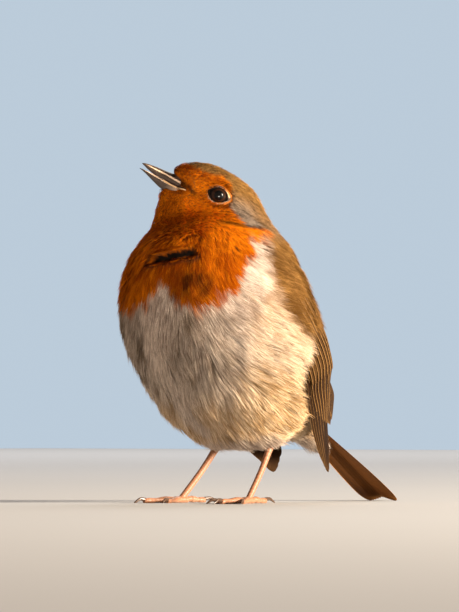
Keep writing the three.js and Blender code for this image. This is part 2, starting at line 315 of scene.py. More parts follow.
def joined(parts):
    """Several (points, faces) as one."""
    points, quads, triangles, start = [], [], [], 0
    for place, groups in parts:
        points.append(place)
        for group in groups:
            (quads if group.shape[1] == 4 else triangles).append(group + start)
        start += len(place)
    groups = [np.vstack(kind) for kind in (quads, triangles) if kind]
    return np.vstack(points), groups


# %% [markdown]
# ## Where the plumage is long, and where it is short
# Feathers are smallest round the eye and bill, short on the crown, and longest on belly and flanks.
# The skin lies under the feather tips by about a quarter of their length, so that short feathers make
# a tight face and long ones a soft belly.


# %% Length and depth of the coat
COAT_DEPTH = 0.27  # share of a feather's length that stands off the skin
SLIT_HEIGHT, SLIT_TILT = 82.0, 0.07  # a fold under the chin feathers, in mm and mm for each degree
SLIT_FROM, SLIT_TO = -15, 39  # degrees round the breast, from the midline to the bird's left
BILL_DIP = 2.2  # mm by which the face feathers lie lower beside the bill's bare base


def round_the_body(points):
    """Degrees round the body: 0 at the midline of the breast, positive towards the bird's left."""
    return np.degrees(np.arctan2(points[:, 0], -points[:, 1]))


def ripple(points, size, seed):
    """Smooth, repeatable unevenness from -1 to 1, with waves of about `size` mm."""
    waves = np.random.default_rng(seed)
    total = np.zeros(len(points))
    for _ in range(6):
        way = unit(waves.normal(size=3)) * (2 * math.pi / size) * waves.uniform(0.6, 1.5)
        total += np.sin(points @ way + waves.uniform(0, 2 * math.pi))
    return np.clip(total / 3.2, -1, 1)


def near_eye(points, full, none):
    """1 within `full` mm of an eyeball's centre, down to 0 at `none` mm."""
    away = np.minimum(*(np.linalg.norm(points - eye_centre(side), axis=1) for side in (1, -1)))
    return fade(away, full, none)


def headness(points):
    """0 on the body and 1 on the head."""
    return smoothstep(points[:, 2], 83, 93)


def feather_length(points):
    """Length in mm of the small feathers."""
    local = in_head(points)
    y, z = points[:, 1], points[:, 2]
    head = 1.6 + 2.3 * smoothstep(local[:, 1], -15, 6) + 0.6 * smoothstep(-local[:, 2], 4, 12)
    head = head + (1.25 - head) * 0.85 * near_eye(points, 4.4, 7.5)
    back = smoothstep(y, 14, 30) * smoothstep(z, 36, 52)
    body = 7.2 + 4.6 * fade(z, 44, 76) - 2.2 * back
    ankle = smoothstep(25 - z, 0, 4) * fade(np.abs(np.abs(points[:, 0]) - 11.4), 3, 6)
    body = body - 5.5 * ankle * fade(y, 20, 26)
    mix = headness(points)
    return body * (1 - mix) + head * mix


def coat_depth(points):
    """How deep the skin lies under the feather tips, in mm."""
    return COAT_DEPTH * feather_length(points)


def peak(values, low, top, high):
    """Rises from 0 at `low` to 1 at `top` and falls back to 0 at `high`."""
    return smoothstep(values, low, top) * fade(values, top, high)


# %% Waves and the fold in the coat
def near_bill(points):
    """1 beside the bare base of the bill, where the face feathers lie close, and 0 elsewhere."""
    local = in_head(points)
    back, up = local[:, 1], local[:, 2]
    ahead = fade(back, -16.5, -11) * headness(points)
    return ahead * smoothstep(up, -4.8, -3.2) * fade(up, 0.9, 2.6)


def billows(points):
    """Low waves in the plumage, in mm, as loose feathers bunch together, and its dip by the bill."""
    head = headness(points)
    body = 0.75 * ripple(points * [1, 1, 0.6], 10, 41) * (1 - head) * smoothstep(points[:, 2], 20, 34)
    face = 0.2 * ripple(points, 5, 42) * head * (1 - near_eye(points, 5, 9))
    return body + face - BILL_DIP * near_bill(points)


def slit_place(points):
    """Height above the fold under the chin feathers, and 1 between its ends."""
    round_by = round_the_body(points)
    middle = SLIT_HEIGHT + SLIT_TILT * (round_by - (SLIT_FROM + SLIT_TO) / 2)
    start = smoothstep(round_by, SLIT_FROM, SLIT_FROM + 7)
    end = smoothstep(round_by, SLIT_TO - 15, SLIT_TO)
    return points[:, 2] - middle, start * (1 - end) * (points[:, 1] < 0)


def slit(points):
    """1 in the fold under the chin feathers, whose skin is painted in the shadow colour."""
    above, between = slit_place(points)
    return fade(np.abs(above), 0.9, 1.9) * between


# %% [markdown]
# ## The markings
# Skin and feathers wear the same pattern, so it is worked out once, as soft masks at any point: the
# orange bib and face, the olive brown of crown and back, the grey border between them, and the warm
# buff of the flanks. The grey mask also paints shade in uneven patches over the middle of the belly,
# and a last mask paints shade and shadow: a line under the ear coverts, a line along the lores to the
# mouth's corner and a patch on the breast. What no mask covers is off-white. Each feather asks at its
# own tip, which gives the borders their loose, feathery edge.


# %% Edges of the markings
# Edges are pairs of lists: a place, and where the colour ends there. Round is in degrees, the rest in mm.
BIB_ROUND = [-120, -90, -76, -64, -50, -40, -22, -4, 2, 7]
BIB_ROUND += [12, 18, 24, 40, 50, 57, 64, 71, 76, 90, 120]
BIB_LOW_EDGE = [93, 88.4, 84.5, 73.6, 65.5, 62.6, 61.5, 63.5, 68, 70.8]
BIB_LOW_EDGE += [69.5, 65.5, 62.8, 62.6, 65.5, 69, 73.6, 77.7, 84.5, 88.4, 93]
FACE_UP = [-14, -8, -5, -4, -3, -1.5, 0, 4, 6, 7]
FACE_BACK_EDGE = [14, 9.5, 8.6, 6.5, 4.6, 1.8, 1, 0.6, -0.2, -2.5]
FOREHEAD_BACK = [-17, -15.5, -13, -9, -5, 0]
FOREHEAD_TOP_EDGE = [8.5, 6.6, 5.9, 6, 7, 7]
COVERT_BACK = [-4, 2, 10, 16]  # the lower edge of the ear coverts, with a line of painted shadow under it
COVERT_LINE = [-9.5, -8, -5.8, -3.8]
GAPE_BACK, GAPE_UP = [-18, -14, -11, -8.5], [0.4, -0.7, -1.6, -2.8]  # a line of painted shadow along the lores to the mouth's corner
TAIL_LINE_BACK, TAIL_LINE_UP = [20, 28, 33, 45, 58], [60, 43, 38, 27, 17]  # olive above, white below
OLIVE_UP = [36, 50, 58, 66, 75, 86, 92]
OLIVE_ROUND = [140, 118, 102, 88, 81, 92, 100]
BREAST_SHADE_ROUND, BREAST_SHADE_HEIGHT = 28, 69.5  # the middle of a patch of painted shade on the breast


# %% Orange, olive and grey
def on_whole_head(points):
    """0 on the body and 1 on the head, where the pattern changes from one to the other."""
    return smoothstep(points[:, 2], 84, 91)


def ear_line(back):
    """Height of the lower edge of the ear coverts, with a line of painted shadow under it."""
    return np.interp(back, COVERT_BACK, COVERT_LINE)


def orange_mask(points, beyond, uneven):
    """The bib on the breast, and the face with the tongue of orange under the ear coverts."""
    back, up = in_head(points)[:, 1:].T
    round_by = round_the_body(points)
    ragged = 1.2 * uneven + 2 * ripple(points * [1, 1, 0.4], 4, 8)
    bib = smoothstep(points[:, 2] - np.interp(round_by, BIB_ROUND, BIB_LOW_EDGE) + ragged, -1.5, 1.5)
    tongue = smoothstep(ear_line(back) - up, -0.5, 0.7) * smoothstep(19.5 - back, -1, 1)
    face = np.maximum(fade(beyond, -0.9, 1.1), tongue * (np.abs(round_by) < 108))
    head = on_whole_head(points)
    return bib * (1 - head) + face * head


def olive_mask(points, beyond, uneven):
    """Back, rump and crown."""
    z, turn, head = points[:, 2], np.abs(round_the_body(points)), on_whole_head(points)
    body = smoothstep(turn - np.interp(z, OLIVE_UP, OLIVE_ROUND) + 3 * uneven, -6, 6)
    over_tail = z - np.interp(points[:, 1], TAIL_LINE_BACK, TAIL_LINE_UP)
    over_rump = smoothstep(over_tail, -1, 3) * smoothstep(points[:, 1], 25, 31)
    body = np.maximum(body * smoothstep(z, 34, 44), over_rump)
    return body * (1 - head) + smoothstep(beyond, -3, -1) * head


def grey_mask(points, behind):
    """The grey border behind the face, and painted shade in uneven patches over the middle of the belly."""
    z, turn = points[:, 2], np.abs(round_the_body(points))
    border = smoothstep(behind, -2, 0) * fade(in_head(points)[:, 2], -3, 5)
    border *= smoothstep(z, 84, 90) * (1 - 0.7 * smoothstep(behind, 7, 13))
    # Painted shade over the belly's middle, darker in uneven patches.
    shade_patches = smoothstep(ripple(points * [1, 1, 0.45], 7, 31), 0.05, 0.7)
    belly = fade(turn, 50, 80) * smoothstep(turn, 4, 20) * fade(z, 58, 66)
    belly *= smoothstep(z, 26, 42) * (1 - on_whole_head(points))
    return np.maximum(border, (0.44 + 0.6 * shade_patches) * belly)


# %% Buff and dark
def buff_mask(points, uneven):
    """The flanks and the feathers between the legs."""
    z, turn = points[:, 2], np.abs(round_the_body(points))
    flank = smoothstep(turn + 6 * uneven, 54, 88) * fade(z, 62, 76) * smoothstep(z, 18, 24)
    flank *= 1 - 0.5 * smoothstep(z, 36, 48)
    vent = 0.7 * smoothstep(turn, 10, 40) * fade(z, 27, 37) * (turn < 120)
    return np.maximum(flank, vent)


def painted_shade_mask(points):
    """Painted shade and shadow: a line under the ear coverts, a line along the lores to the mouth's corner
    and a patch on the breast.
    """
    back, up = in_head(points)[:, 1:].T
    z, round_by = points[:, 2], round_the_body(points)
    # A line of painted shadow under the ear coverts.
    ear_shadow = np.exp(-(((up - ear_line(back)) / 0.55) ** 2)) * smoothstep(back, -2, 2)
    ear_shadow *= smoothstep(17 - back, 0, 3) * smoothstep(z, 86, 89) * (np.abs(round_by) < 112)
    # Painted shadow along the lores, down to the mouth's corner.
    gape = np.interp(back, GAPE_BACK, GAPE_UP)
    lores_shadow = smoothstep(1.3 - np.abs(up - gape), 0, 0.9) * fade(back, -11, -7.5)
    lores_shadow *= smoothstep(z, 90, 93)
    # A patch of painted shade on the breast, below the fold under the chin feathers.
    worn = smoothstep(20 - np.abs(round_by - BREAST_SHADE_ROUND), 0, 12)
    worn *= smoothstep(8 - np.abs(z - BREAST_SHADE_HEIGHT), 0, 5)
    worn *= 0.35 + 0.45 * smoothstep(ripple(points * [1, 1, 0.5], 5, 17), -0.3, 0.7)
    return np.maximum.reduce([0.75 * ear_shadow, 0.8 * lores_shadow, worn])


# %% All markings
def markings(points):
    """Masks at each point: orange, olive, grey, buff and painted shade."""
    back, up = in_head(points)[:, 1:].T
    uneven = ripple(points, 7, 3)
    behind = back - np.interp(up, FACE_UP, FACE_BACK_EDGE) + 0.5 * uneven
    above = up - np.interp(back, FOREHEAD_BACK, FOREHEAD_TOP_EDGE) + 0.5 * uneven
    beyond = np.maximum(behind, above)
    masks = [orange_mask(points, beyond, uneven), olive_mask(points, beyond, uneven)]
    masks += [grey_mask(points, behind), buff_mask(points, uneven), painted_shade_mask(points)]
    return np.stack(masks, -1)


# %% [markdown]
# ## The skin
# One closed skin lies under all the feathers. Two balls are blown up from the trunk and from the head
# until they meet the form, a voxel remesh makes them one surface, and each point then settles at the
# coat's depth. The remesh is what removes the seam at the neck.


# %% Skin shape
TRUNK_CENTRE = np.array([0.0, 8, 52])
SKIN_VOXEL = 0.9
BLOW_TURNS = 28
SLIT_DEPTH, SOCKET_DEPTH = 2.4, 1.4  # the fold under the chin, and the hollow that holds the eye


def blown_ball(centre, around=72, down=48, reach=90.0):
    """A ball whose points are pushed out of its centre until they reach the skin."""
    polar = np.linspace(0, math.pi, down + 1)[1:-1]
    turn = np.linspace(0, 2 * math.pi, around, endpoint=False)
    level = [np.outer(np.sin(polar), part) for part in (np.cos(turn), np.sin(turn))]
    rays = np.stack([*level, np.outer(np.cos(polar), np.ones(around))], -1).reshape(-1, 3)
    rays = np.vstack([rays, [0, 0, 1], [0, 0, -1]])
    inside, outside = np.zeros(len(rays)), np.full(len(rays), reach)
    for _ in range(BLOW_TURNS):
        middle = (inside + outside) / 2
        within = plumage(centre + rays * middle[:, None]) < -1.5
        inside, outside = np.where(within, middle, inside), np.where(within, outside, middle)
    rows = down - 1
    top, bottom = rows * around, rows * around + 1
    ends = np.vstack([fan(top, 0, around), fan(bottom, top - around, around, -1)])
    return centre + rays * inside[:, None], [grid_faces(rows, around, wrap=True), ends]


def remeshed(piece, voxel):
    """Points (mm) and faces of the piece after a voxel remesh. The piece itself is deleted."""
    change = piece.modifiers.new("remesh", "REMESH")
    change.mode = "VOXEL"
    change.voxel_size = voxel / 1000
    result = piece.evaluated_get(bpy.context.evaluated_depsgraph_get()).to_mesh()
    points = np.empty(len(result.vertices) * 3)
    result.vertices.foreach_get("co", points)
    faces = np.empty(len(result.loops), np.int32)
    result.loops.foreach_get("vertex_index", faces)
    bpy.data.objects.remove(piece)
    return points.reshape(-1, 3) * 1000 - shift, faces.reshape(-1, 4)


plain = bpy.data.materials.new("plain")
core = joined([blown_ball(TRUNK_CENTRE), blown_ball(HEAD_CENTRE)])
skin_points, skin_faces = remeshed(new_piece("core", *core, plain, "plumage_cream"), SKIN_VOXEL)
depth = coat_depth(skin_points) + SLIT_DEPTH * slit(skin_points)
depth += SOCKET_DEPTH * near_eye(skin_points, 4.4, 6)
skin_points = settle(skin_points, billows(skin_points) - depth, 5)
print("skin:", len(skin_points), "points,", len(skin_faces), "faces")


# %% [markdown]
# ## An unwrap of the skin
# Baking needs a flat map of the bird. Its height becomes the map's height and the angle round the
# body its width. The belly and the crown are round at their ends, so there the map follows the slope
# of the surface instead of its height, as the caps of a globe do.


# %% Unwrap
BELLY_HEIGHT, CROWN_HEIGHT = 50.0, HEAD_CENTRE[2]
BELLY_SHARE, CROWN_SHARE = 0.34, 0.8


def unwrap(points):
    """A place on the map, from 0 to 1 both ways, for each point."""
    rise = smoothstep(points[:, 2], 78, 98)[:, None]
    centre = TRUNK_CENTRE[:2] * (1 - rise) + HEAD_CENTRE[:2] * rise
    flat = points[:, :2] - centre
    across = np.arctan2(flat[:, 0], -flat[:, 1]) / (2 * math.pi) + 0.5
    reach = np.linalg.norm(flat, axis=1)
    z = points[:, 2]
    low = np.arctan2(z - BELLY_HEIGHT, reach) / (math.pi / 2)
    high = np.arctan2(z - CROWN_HEIGHT, reach) / (math.pi / 2)
    middle = BELLY_SHARE + (CROWN_SHARE - BELLY_SHARE) * (z - BELLY_HEIGHT) / (CROWN_HEIGHT - BELLY_HEIGHT)
    along = np.where(z < BELLY_HEIGHT, BELLY_SHARE * (1 + low), middle)
    along = np.where(z > CROWN_HEIGHT, CROWN_SHARE + (1 - CROWN_SHARE) * high, along)
    return np.stack([across, along], -1)


# %% [markdown]
# ## How feathers lie
# Feathers point away from the bill on the head and towards the tail on the body. The lie at a point
# is that direction, flattened onto the surface, with a little slow unevenness so that the coat
# doesn't look combed by a machine.


# %% Lie of the coat
BILL_SOURCE = np.array([0, -25, -1.0])  # ahead of the bill's base, in the head's own axes


def lie(points, normals):
    """The direction in which feathers lie, along the surface."""
    from_bill = (in_head(points) - BILL_SOURCE) @ HEAD_TURN.T
    away = np.linalg.norm(from_bill, axis=1)
    x, y, z = points.T
    backwards = 0.3 + 0.55 * fade(z, 52, 78) + 2.4 * fade(z, 22, 42)
    turn = np.abs(round_the_body(points))
    flank = smoothstep(turn, 25, 80) * fade(turn, 100, 125)
    backwards = backwards + 1.7 * flank * smoothstep(z, 26, 42) * fade(z, 66, 84)
    backwards = np.where(y > 34, np.minimum(backwards, 1.5), backwards)
    inwards = -0.02 * x * fade(z, 24, 50)
    body = np.stack([inwards, backwards, -np.ones(len(points))], -1)
    mix = (smoothstep(z, 80, 92) * fade(away, 17, 38))[:, None]
    way = unit(body) * (1 - mix) + unit(from_bill) * mix
    way = unit(way - normals * (way * normals).sum(1, keepdims=True))
    across = np.cross(normals, way)
    sway = np.radians(13) * ripple(points, 16, 11) + np.radians(8) * ripple(points, 5, 12)
    return way * np.cos(sway)[:, None] + across * np.sin(sway)[:, None]


def comb(roots, length, lift, joints):
    """Paths of tufts from their roots: they rise out of the coat and end `lift` mm above its form."""
    depth, relief = coat_depth(roots), billows(roots)
    spot, normal = roots, outwards(roots)
    way = lie(spot, normal)
    path, sides, normals = [spot], [unit(np.cross(normal, way))], [normal]
    for joint in range(1, joints + 1):
        share = joint / joints
        spot = spot + way * (length / joints)[:, None]
        spot = settle(spot, relief - depth * (1 - share) ** 1.5 + lift * share**2, 2)
        normal = outwards(spot)
        way = lie(spot, normal)
        path.append(spot)
        normals.append(normal)
        sides.append(unit(np.cross(normal, way)))
    return np.stack(path, 1), np.stack(sides, 1), np.stack(normals, 1)


# %% [markdown]
# ## Small tools for materials
# A material here is a graph of nodes. `add` makes one node, sets it up and wires it in one call: a
# value is written on the socket, and another node's output is linked to it. A node group is an effect
# with named inputs that several materials share, each with its own values.


# %% Node tools
def add(tree, kind, wires=None, **settings):
    """Makes a shader node. `wires` maps a socket to a value or to another node's output."""
    made = tree.nodes.new("ShaderNode" + kind)
    for name, value in settings.items():
        setattr(made, name, value)
    for socket, source in (wires or {}).items():
        if isinstance(source, bpy.types.NodeSocket):
            tree.links.new(source, made.inputs[socket])
        else:
            made.inputs[socket].default_value = source
    return made


def calculate(tree, operation, *values):
    """The result of a Math node."""
    return add(tree, "Math", dict(enumerate(values)), operation=operation).outputs[0]


def times(tree, first, second):
    """One number times another."""
    return calculate(tree, "MULTIPLY", first, second)


def minus(tree, first, second):
    """One number less another."""
    return calculate(tree, "SUBTRACT", first, second)


def apart(tree, first, second):
    """How far two numbers are apart."""
    return calculate(tree, "ABSOLUTE", minus(tree, first, second))


def blend(tree, share, first, second, how="MIX"):
    """Mixes two colours, where share is 0 for the first and 1 for the second."""
    wires = {0: share, 6: first, 7: second}
    return add(tree, "Mix", wires, data_type="RGBA", blend_type=how).outputs[2]


def spread(tree, value, low, high, to_low=0.0, to_high=1.0):
    """Stretches a value from one range to another."""
    wires = {0: value, 1: low, 2: high, 3: to_low, 4: to_high}
    return add(tree, "MapRange", wires, interpolation_type="SMOOTHSTEP").outputs[0]


def stored(tree, name):
    """Three numbers that a piece keeps for each point, as separate outputs."""
    kept = add(tree, "Attribute", attribute_name=name).outputs["Vector"]
    return add(tree, "SeparateXYZ", {0: kept}).outputs


# %% Noise
def noise(tree, scale, detail=3.0):
    """Cloudy noise. The scale counts waves in a metre."""
    place = add(tree, "TexCoord").outputs["Object"]
    return add(tree, "TexNoise", {"Scale": scale, "Detail": detail, "Vector": place}).outputs["Fac"]


def mottle(tree, scale, detail, first, second):
    """Cloudy noise, and the two colours that it mixes."""
    cloud = noise(tree, scale, detail)
    return cloud, blend(tree, cloud, first, second)


# %% Groups and finishes
def new_group(name, inputs, outputs):
    """An empty node group: each input number's usual value, and each output's kind of socket."""
    group = bpy.data.node_groups.new(name, "ShaderNodeTree")
    for title, value in inputs.items():
        socket = group.interface.new_socket(title, in_out="INPUT", socket_type="NodeSocketFloat")
        socket.default_value = value
    for title, kind in outputs.items():
        group.interface.new_socket(title, in_out="OUTPUT", socket_type="NodeSocket" + kind)
    return group, group.nodes.new("NodeGroupInput").outputs, group.nodes.new("NodeGroupOutput").inputs


def use(tree, group, wires):
    """Places a group in a material."""
    return add(tree, "Group", wires, node_tree=group).outputs


def finish_with(name, **constants):
    """A material with one Principled shader. Its steady values are set on the shader's own sockets."""
    material = bpy.data.materials.new(name)
    material.use_nodes = True
    shader = material.node_tree.nodes["Principled BSDF"]
    for socket, value in constants.items():
        shader.inputs[socket.replace("_", " ")].default_value = value
    return material, material.node_tree, shader.inputs


def wire(tree, source, socket):
    """Links an output to an input."""
    tree.links.new(source, socket)


def roughen(tree, shader, height, strength, depth):
    """Bumps a finish by a height from 0 to 1 that stands for `depth` metres."""
    bump = add(tree, "Bump", {"Strength": strength, "Distance": depth, "Height": height})
    wire(tree, bump.outputs[0], shader["Normal"])


# %% [markdown]
# ## The colours of the plumage
# A robin's small feathers are dark and downy at the root and coloured at the tip. Where the coat
# parts, the dark root shows; that dark is partly the down's own colour and partly painted shade between
# the feathers, and it gives depth. The very tips are loose and catch the light, so they are a little
# lighter. One group paints both skin and feathers from the stored masks. Chance, a number for each
# feather, makes some paler and some darker; it also carries painted light and shade by place.

# %% Plumage colour group
ORANGE, DEEP_ORANGE = (0.8, 0.235, 0.004, 1), (0.3, 0.052, 0.001, 1)
OLIVE, PALE_OLIVE = (0.1, 0.046, 0.011, 1), (0.36, 0.19, 0.055, 1)
WHITE, SHADED_WHITE = (0.88, 0.76, 0.64, 1), (0.36, 0.27, 0.21, 1)
BUFF, BROWN_BUFF = (0.86, 0.69, 0.47, 1), (0.46, 0.28, 0.12, 1)
SLATE, PALE_SLATE = (0.12, 0.09, 0.065, 1), (0.4, 0.31, 0.23, 1)
DOWN_AND_SHADE, SHADOW = (0.04, 0.03, 0.025, 1), (0.006, 0.004, 0.003, 1)
TIP_LIGHT = (1.4, 1.4, 1.4, 1)  # how much lighter the very tips are

plumage_group, given, result = new_group(
    "plumage colour",
    {
        "Orange": 0.0, "Olive": 0.0, "Grey": 0.0, "Buff": 0.0, "Painted shade": 0.0,
        "Chance": 0.5, "Along": 1.0, "Root darkness": 0.8,
    },
    {"Color": "Color"},
)
colour = blend(plumage_group, given["Chance"], SHADED_WHITE, WHITE)
for title, deep, pale in (
    ("Buff", BROWN_BUFF, BUFF),
    ("Olive", OLIVE, PALE_OLIVE),
    ("Grey", SLATE, PALE_SLATE),
    ("Orange", DEEP_ORANGE, ORANGE),
):
    tone = blend(plumage_group, given["Chance"], deep, pale)
    colour = blend(plumage_group, given[title], colour, tone)
near_root = spread(plumage_group, given["Along"], 0.62, 0.1)
root = times(plumage_group, near_root, given["Root darkness"])
tip = times(plumage_group, spread(plumage_group, given["Along"], 0.7, 1.0), 0.5)
tip_tone = blend(plumage_group, 1.0, colour, TIP_LIGHT, "MULTIPLY")
colour = blend(plumage_group, tip, colour, tip_tone)
# The root's dark is partly the down's own colour and partly painted shade between the feathers.
root_tone = blend(plumage_group, 0.72, colour, DOWN_AND_SHADE)
colour = blend(plumage_group, root, colour, root_tone)
# The last mask paints shade and shadow in the shadow colour.
colour = blend(plumage_group, given["Painted shade"], colour, SHADOW)
wire(plumage_group, colour, result["Color"])


# %% Plumage finishes
def plumage_material(name, root_darkness, grain):
    """A soft, dry finish that reads the masks of its piece."""
    material, tree, shader = finish_with(name, Roughness=0.8, Specular_IOR_Level=0.03)
    marks, more, growth = (stored(tree, title) for title in ("marks", "more_marks", "growth"))
    fine = noise(tree, grain, 4.0)
    wires = {"Orange": marks[0], "Olive": marks[1], "Grey": marks[2], "Buff": more[0], "Painted shade": more[1]}
    wires["Chance"] = calculate(tree, "ADD", more[2], calculate(tree, "MULTIPLY_ADD", fine, 0.5, -0.25))
    wires["Along"] = growth[0]
    wires["Root darkness"] = root_darkness
    wire(tree, use(tree, plumage_group, wires)["Color"], shader["Base Color"])
    roughen(tree, shader, fine, 0.35, 0.0002)
    return material


skin_finish = plumage_material("skin under the feathers", 0.0, 1400)
coat_finish = plumage_material("small feathers", 0.85, 2600)


# %% [markdown]
# ## Skin piece
# The skin stands for all the fleshy nodes at once. It carries the masks of the coat at every point,
# and its Along value is that of a feather's middle, so it gets no lighter tips. Its Chance is low, so
# it is painted darker than the feathers, as shade in the gaps between them.


# %% Skin piece
FLESH = ("head", "neck", "trunk", "rump", "thigh_left", "thigh_right")
# A low Chance paints the skin darker, as shade between the feathers.
SKIN_CHANCE, SKIN_ALONG = 0.25, 0.3


def keep_marks(piece, marks, pale, growth):
    """Stores the masks, how pale each point is and its share along the feather."""
    keep(piece, "marks", marks[:, :3])
    keep(piece, "more_marks", marks[:, 3:], pale)
    keep(piece, "growth", growth)


skin = new_piece("skin", skin_points, skin_faces, skin_finish, "plumage_cream", replaces=FLESH)
many = np.ones(len(skin_points))
skin_marks = markings(skin_points)
# The fold under the chin feathers is painted in the shadow colour.
skin_marks[:, 4] = np.maximum(skin_marks[:, 4], slit(skin_points))
keep_marks(skin, skin_marks, SKIN_CHANCE * many, SKIN_ALONG * many)

# %% [markdown]
# ## Camera, floor and light
# The bird is seen from its front left. A long lens from nearly two metres keeps the proportions flat
# and true, and it stands low, so that it looks up a little. Low, warm sun comes from the right of the
# view, with a broad, weak fill from the left, as on a winter morning. A rim light from behind brings
# out the bird's outline. The floor is plain and pale. Two more lamps do what open ground around the
# bird would do: one lights the far floor, so that it doesn't end in a dark line, and a small, soft one
# from low down and close by lifts the shade off throat and cheek.

# %% Camera and floor
VIEW_TURN = math.radians(42)
VIEW_DISTANCE, VIEW_HEIGHT = 1.8, 0.026  # metres
AIM = to_frame([3.84, 3.46, 65.7])
FRAME_HEIGHT = 0.204  # metres of the bird's height that the long side of the view takes in
SENSOR = 36  # mm
FLOOR_REACH = 3  # metres from the middle to each side
FLOOR_TONES = (0.6, 0.63, 0.66, 1), (0.66, 0.68, 0.7, 1)


def aim_at(thing, target):
    """Turns a camera or a lamp to face a point."""
    towards = mathutils.Vector(target) - thing.location
    thing.rotation_euler = towards.to_track_quat("-Z", "Y").to_euler()


def level_way(turn=0):
    """The level direction from the bird, `turn` degrees to the right of the view's direction."""
    angle = VIEW_TURN + math.radians(turn)
    return np.array([math.sin(angle), -math.cos(angle), 0])


lens = bpy.data.cameras.new("camera")
lens.sensor_width = SENSOR
lens.lens = SENSOR * VIEW_DISTANCE / FRAME_HEIGHT
camera = placed("camera", lens)
bpy.context.scene.camera = camera
camera.location = AIM + level_way() * VIEW_DISTANCE
camera.location.z = VIEW_HEIGHT
aim_at(camera, AIM)

floor_mesh = bpy.data.meshes.new("floor")
floor_corners = [(x * FLOOR_REACH, y * FLOOR_REACH, 0) for x, y in ((-1, -1), (1, -1), (1, 1), (-1, 1))]
floor_mesh.from_pydata(floor_corners, [], [(0, 1, 2, 3)])
floor = placed("floor", floor_mesh)
floor_finish, tree, shader = finish_with("pale floor", Roughness=0.85)
cloud = spread(tree, noise(tree, 3.0), 0.0, 1.0, 0.3, 0.7)
wire(tree, blend(tree, cloud, *FLOOR_TONES), shader["Base Color"])
floor_mesh.materials.append(floor_finish)

# %% Light
FAR_FLOOR = AIM * [1, 1, 0] - level_way() * 3.2
HEAD_AIM = to_frame(HEAD_CENTRE + [0, -4, -3])
FACE_TURN, FACE_REACH, FACE_HEIGHT = 16, 0.45, 0.02  # degrees to the right, metres away and up
BACKDROP, AMBIENT = (0.5, 0.6, 0.7, 1), (0.13, 0.098, 0.08, 1)  # as seen, and as it lights the bird


def soft_light(name, turn, height, distance, size, power, colour, target=AIM):
    """A square area light, `turn` degrees to the right of the view's direction and `height` above."""
    lamp = bpy.data.lights.new(name, "AREA")
    lamp.size = size
    lamp.energy = power
    lamp.color = colour
    thing = placed(name, lamp)
    height = math.radians(height)
    thing.location = target + level_way(turn) * distance * math.cos(height)
    thing.location.z += distance * math.sin(height)
    aim_at(thing, target)


soft_light("sun", 75, 10, 1.6, 0.3, 95, (1.0, 0.84, 0.66))
soft_light("fill", -45, 20, 1.8, 1.6, 4.4, (1.0, 0.7, 0.52))
soft_light("rim", 165, 45, 1.6, 0.8, 5, (1.0, 0.95, 0.9))
soft_light("floor light", 0, 89, 1.4, 3.2, 45, (1.0, 0.97, 0.94), FAR_FLOOR)

face_lamp = bpy.data.lights.new("face light", "SPOT")
face_lamp.energy = 10
face_lamp.color = (1.0, 0.86, 0.74)
face_lamp.spot_size = math.radians(12.4)
face_lamp.spot_blend = 1.0
face_lamp.shadow_soft_size = 0.012
face_light = placed("face light", face_lamp)
face_light.location = HEAD_AIM + level_way(FACE_TURN) * FACE_REACH
face_light.location.z = FACE_HEIGHT
aim_at(face_light, HEAD_AIM)

world = bpy.data.worlds.new("world")
world.use_nodes = True
sky = world.node_tree
seen = add(sky, "LightPath").outputs["Is Camera Ray"]
wire(sky, blend(sky, seen, AMBIENT, BACKDROP), sky.nodes["Background"].inputs["Color"])
bpy.context.scene.world = world
bpy.context.scene.view_settings.view_transform = "Standard"

# %% [markdown]
# ## The wing's surface
# A folded wing lies along the flank from the shoulder to the rump. Its surface is spanned by two
# curves, the leading edge near the flank and the edge near the spine. The upper part rests on the body
# and the tip stands free. `on_wing` gives a point for a share across (0 at the leading edge) and a share
# along (0 at the shoulder).

# %% Wing surface
LEADING_EDGE = [(24, -1, 80), (30, 2, 69), (31, 9, 58), (29.5, 15.5, 46)]
LEADING_EDGE += [(24.5, 22, 35), (19.5, 28.5, 23), (13.2, 41, 9.8)]
SPINE_EDGE = [(8, 16.5, 88), (9.5, 27, 73), (10.5, 34, 61), (11, 41, 49)]
SPINE_EDGE += [(11, 46.5, 38), (11, 46.3, 26), (11.2, 46.6, 8.9)]
WING_CAMBER, WING_LENGTH = 1.2, 95
BULGE_ALONG = [0.38, 0.46, 0.53, 0.6, 0.66, 0.72, 0.82]
WING_BULGE = [0, 0.6, 1.8, 1.6, 0.9, 0.3, 0.1]  # mm that the wing stands higher over the rump
WING_RISES = (0.5, 0.72)  # shares along the wing where it leaves the body and hangs free
SIDES = {"left": 1, "right": -1}


def on_wing(across, along, lift, side=1):
    """Points of a folded wing, `lift` mm above its resting surface."""
    across, along = np.asarray(across, float), np.asarray(along, float)
    shape = np.broadcast(across, along).shape
    across, along = np.broadcast_to(across, shape).ravel(), np.broadcast_to(along, shape).ravel()
    lead, spine = through(LEADING_EDGE, along), through(SPINE_EDGE, along)
    points = lead * (1 - across)[:, None] + spine * across[:, None]
    seated = settle(points, 0, 5)
    free = points + outwards(points) * (WING_CAMBER * np.sin(math.pi * across))[:, None]
    share = smoothstep(along, *WING_RISES)[:, None]
    points = seated * (1 - share) + free * share
    bulge = np.interp(along, BULGE_ALONG, WING_BULGE) * smoothstep(across, 0.1, 0.6)
    lift = np.broadcast_to(lift, shape).ravel() + bulge
    points = points + outwards(points) * lift[:, None]
    return (points * [side, 1, 1]).reshape(shape + (3,))


WING_GRID = np.stack(np.meshgrid(np.linspace(-0.5, 1, 42), np.linspace(0, 1, 64)), -1).reshape(-1, 2)
WING_POINTS = on_wing(WING_GRID[:, 0], WING_GRID[:, 1], 0)


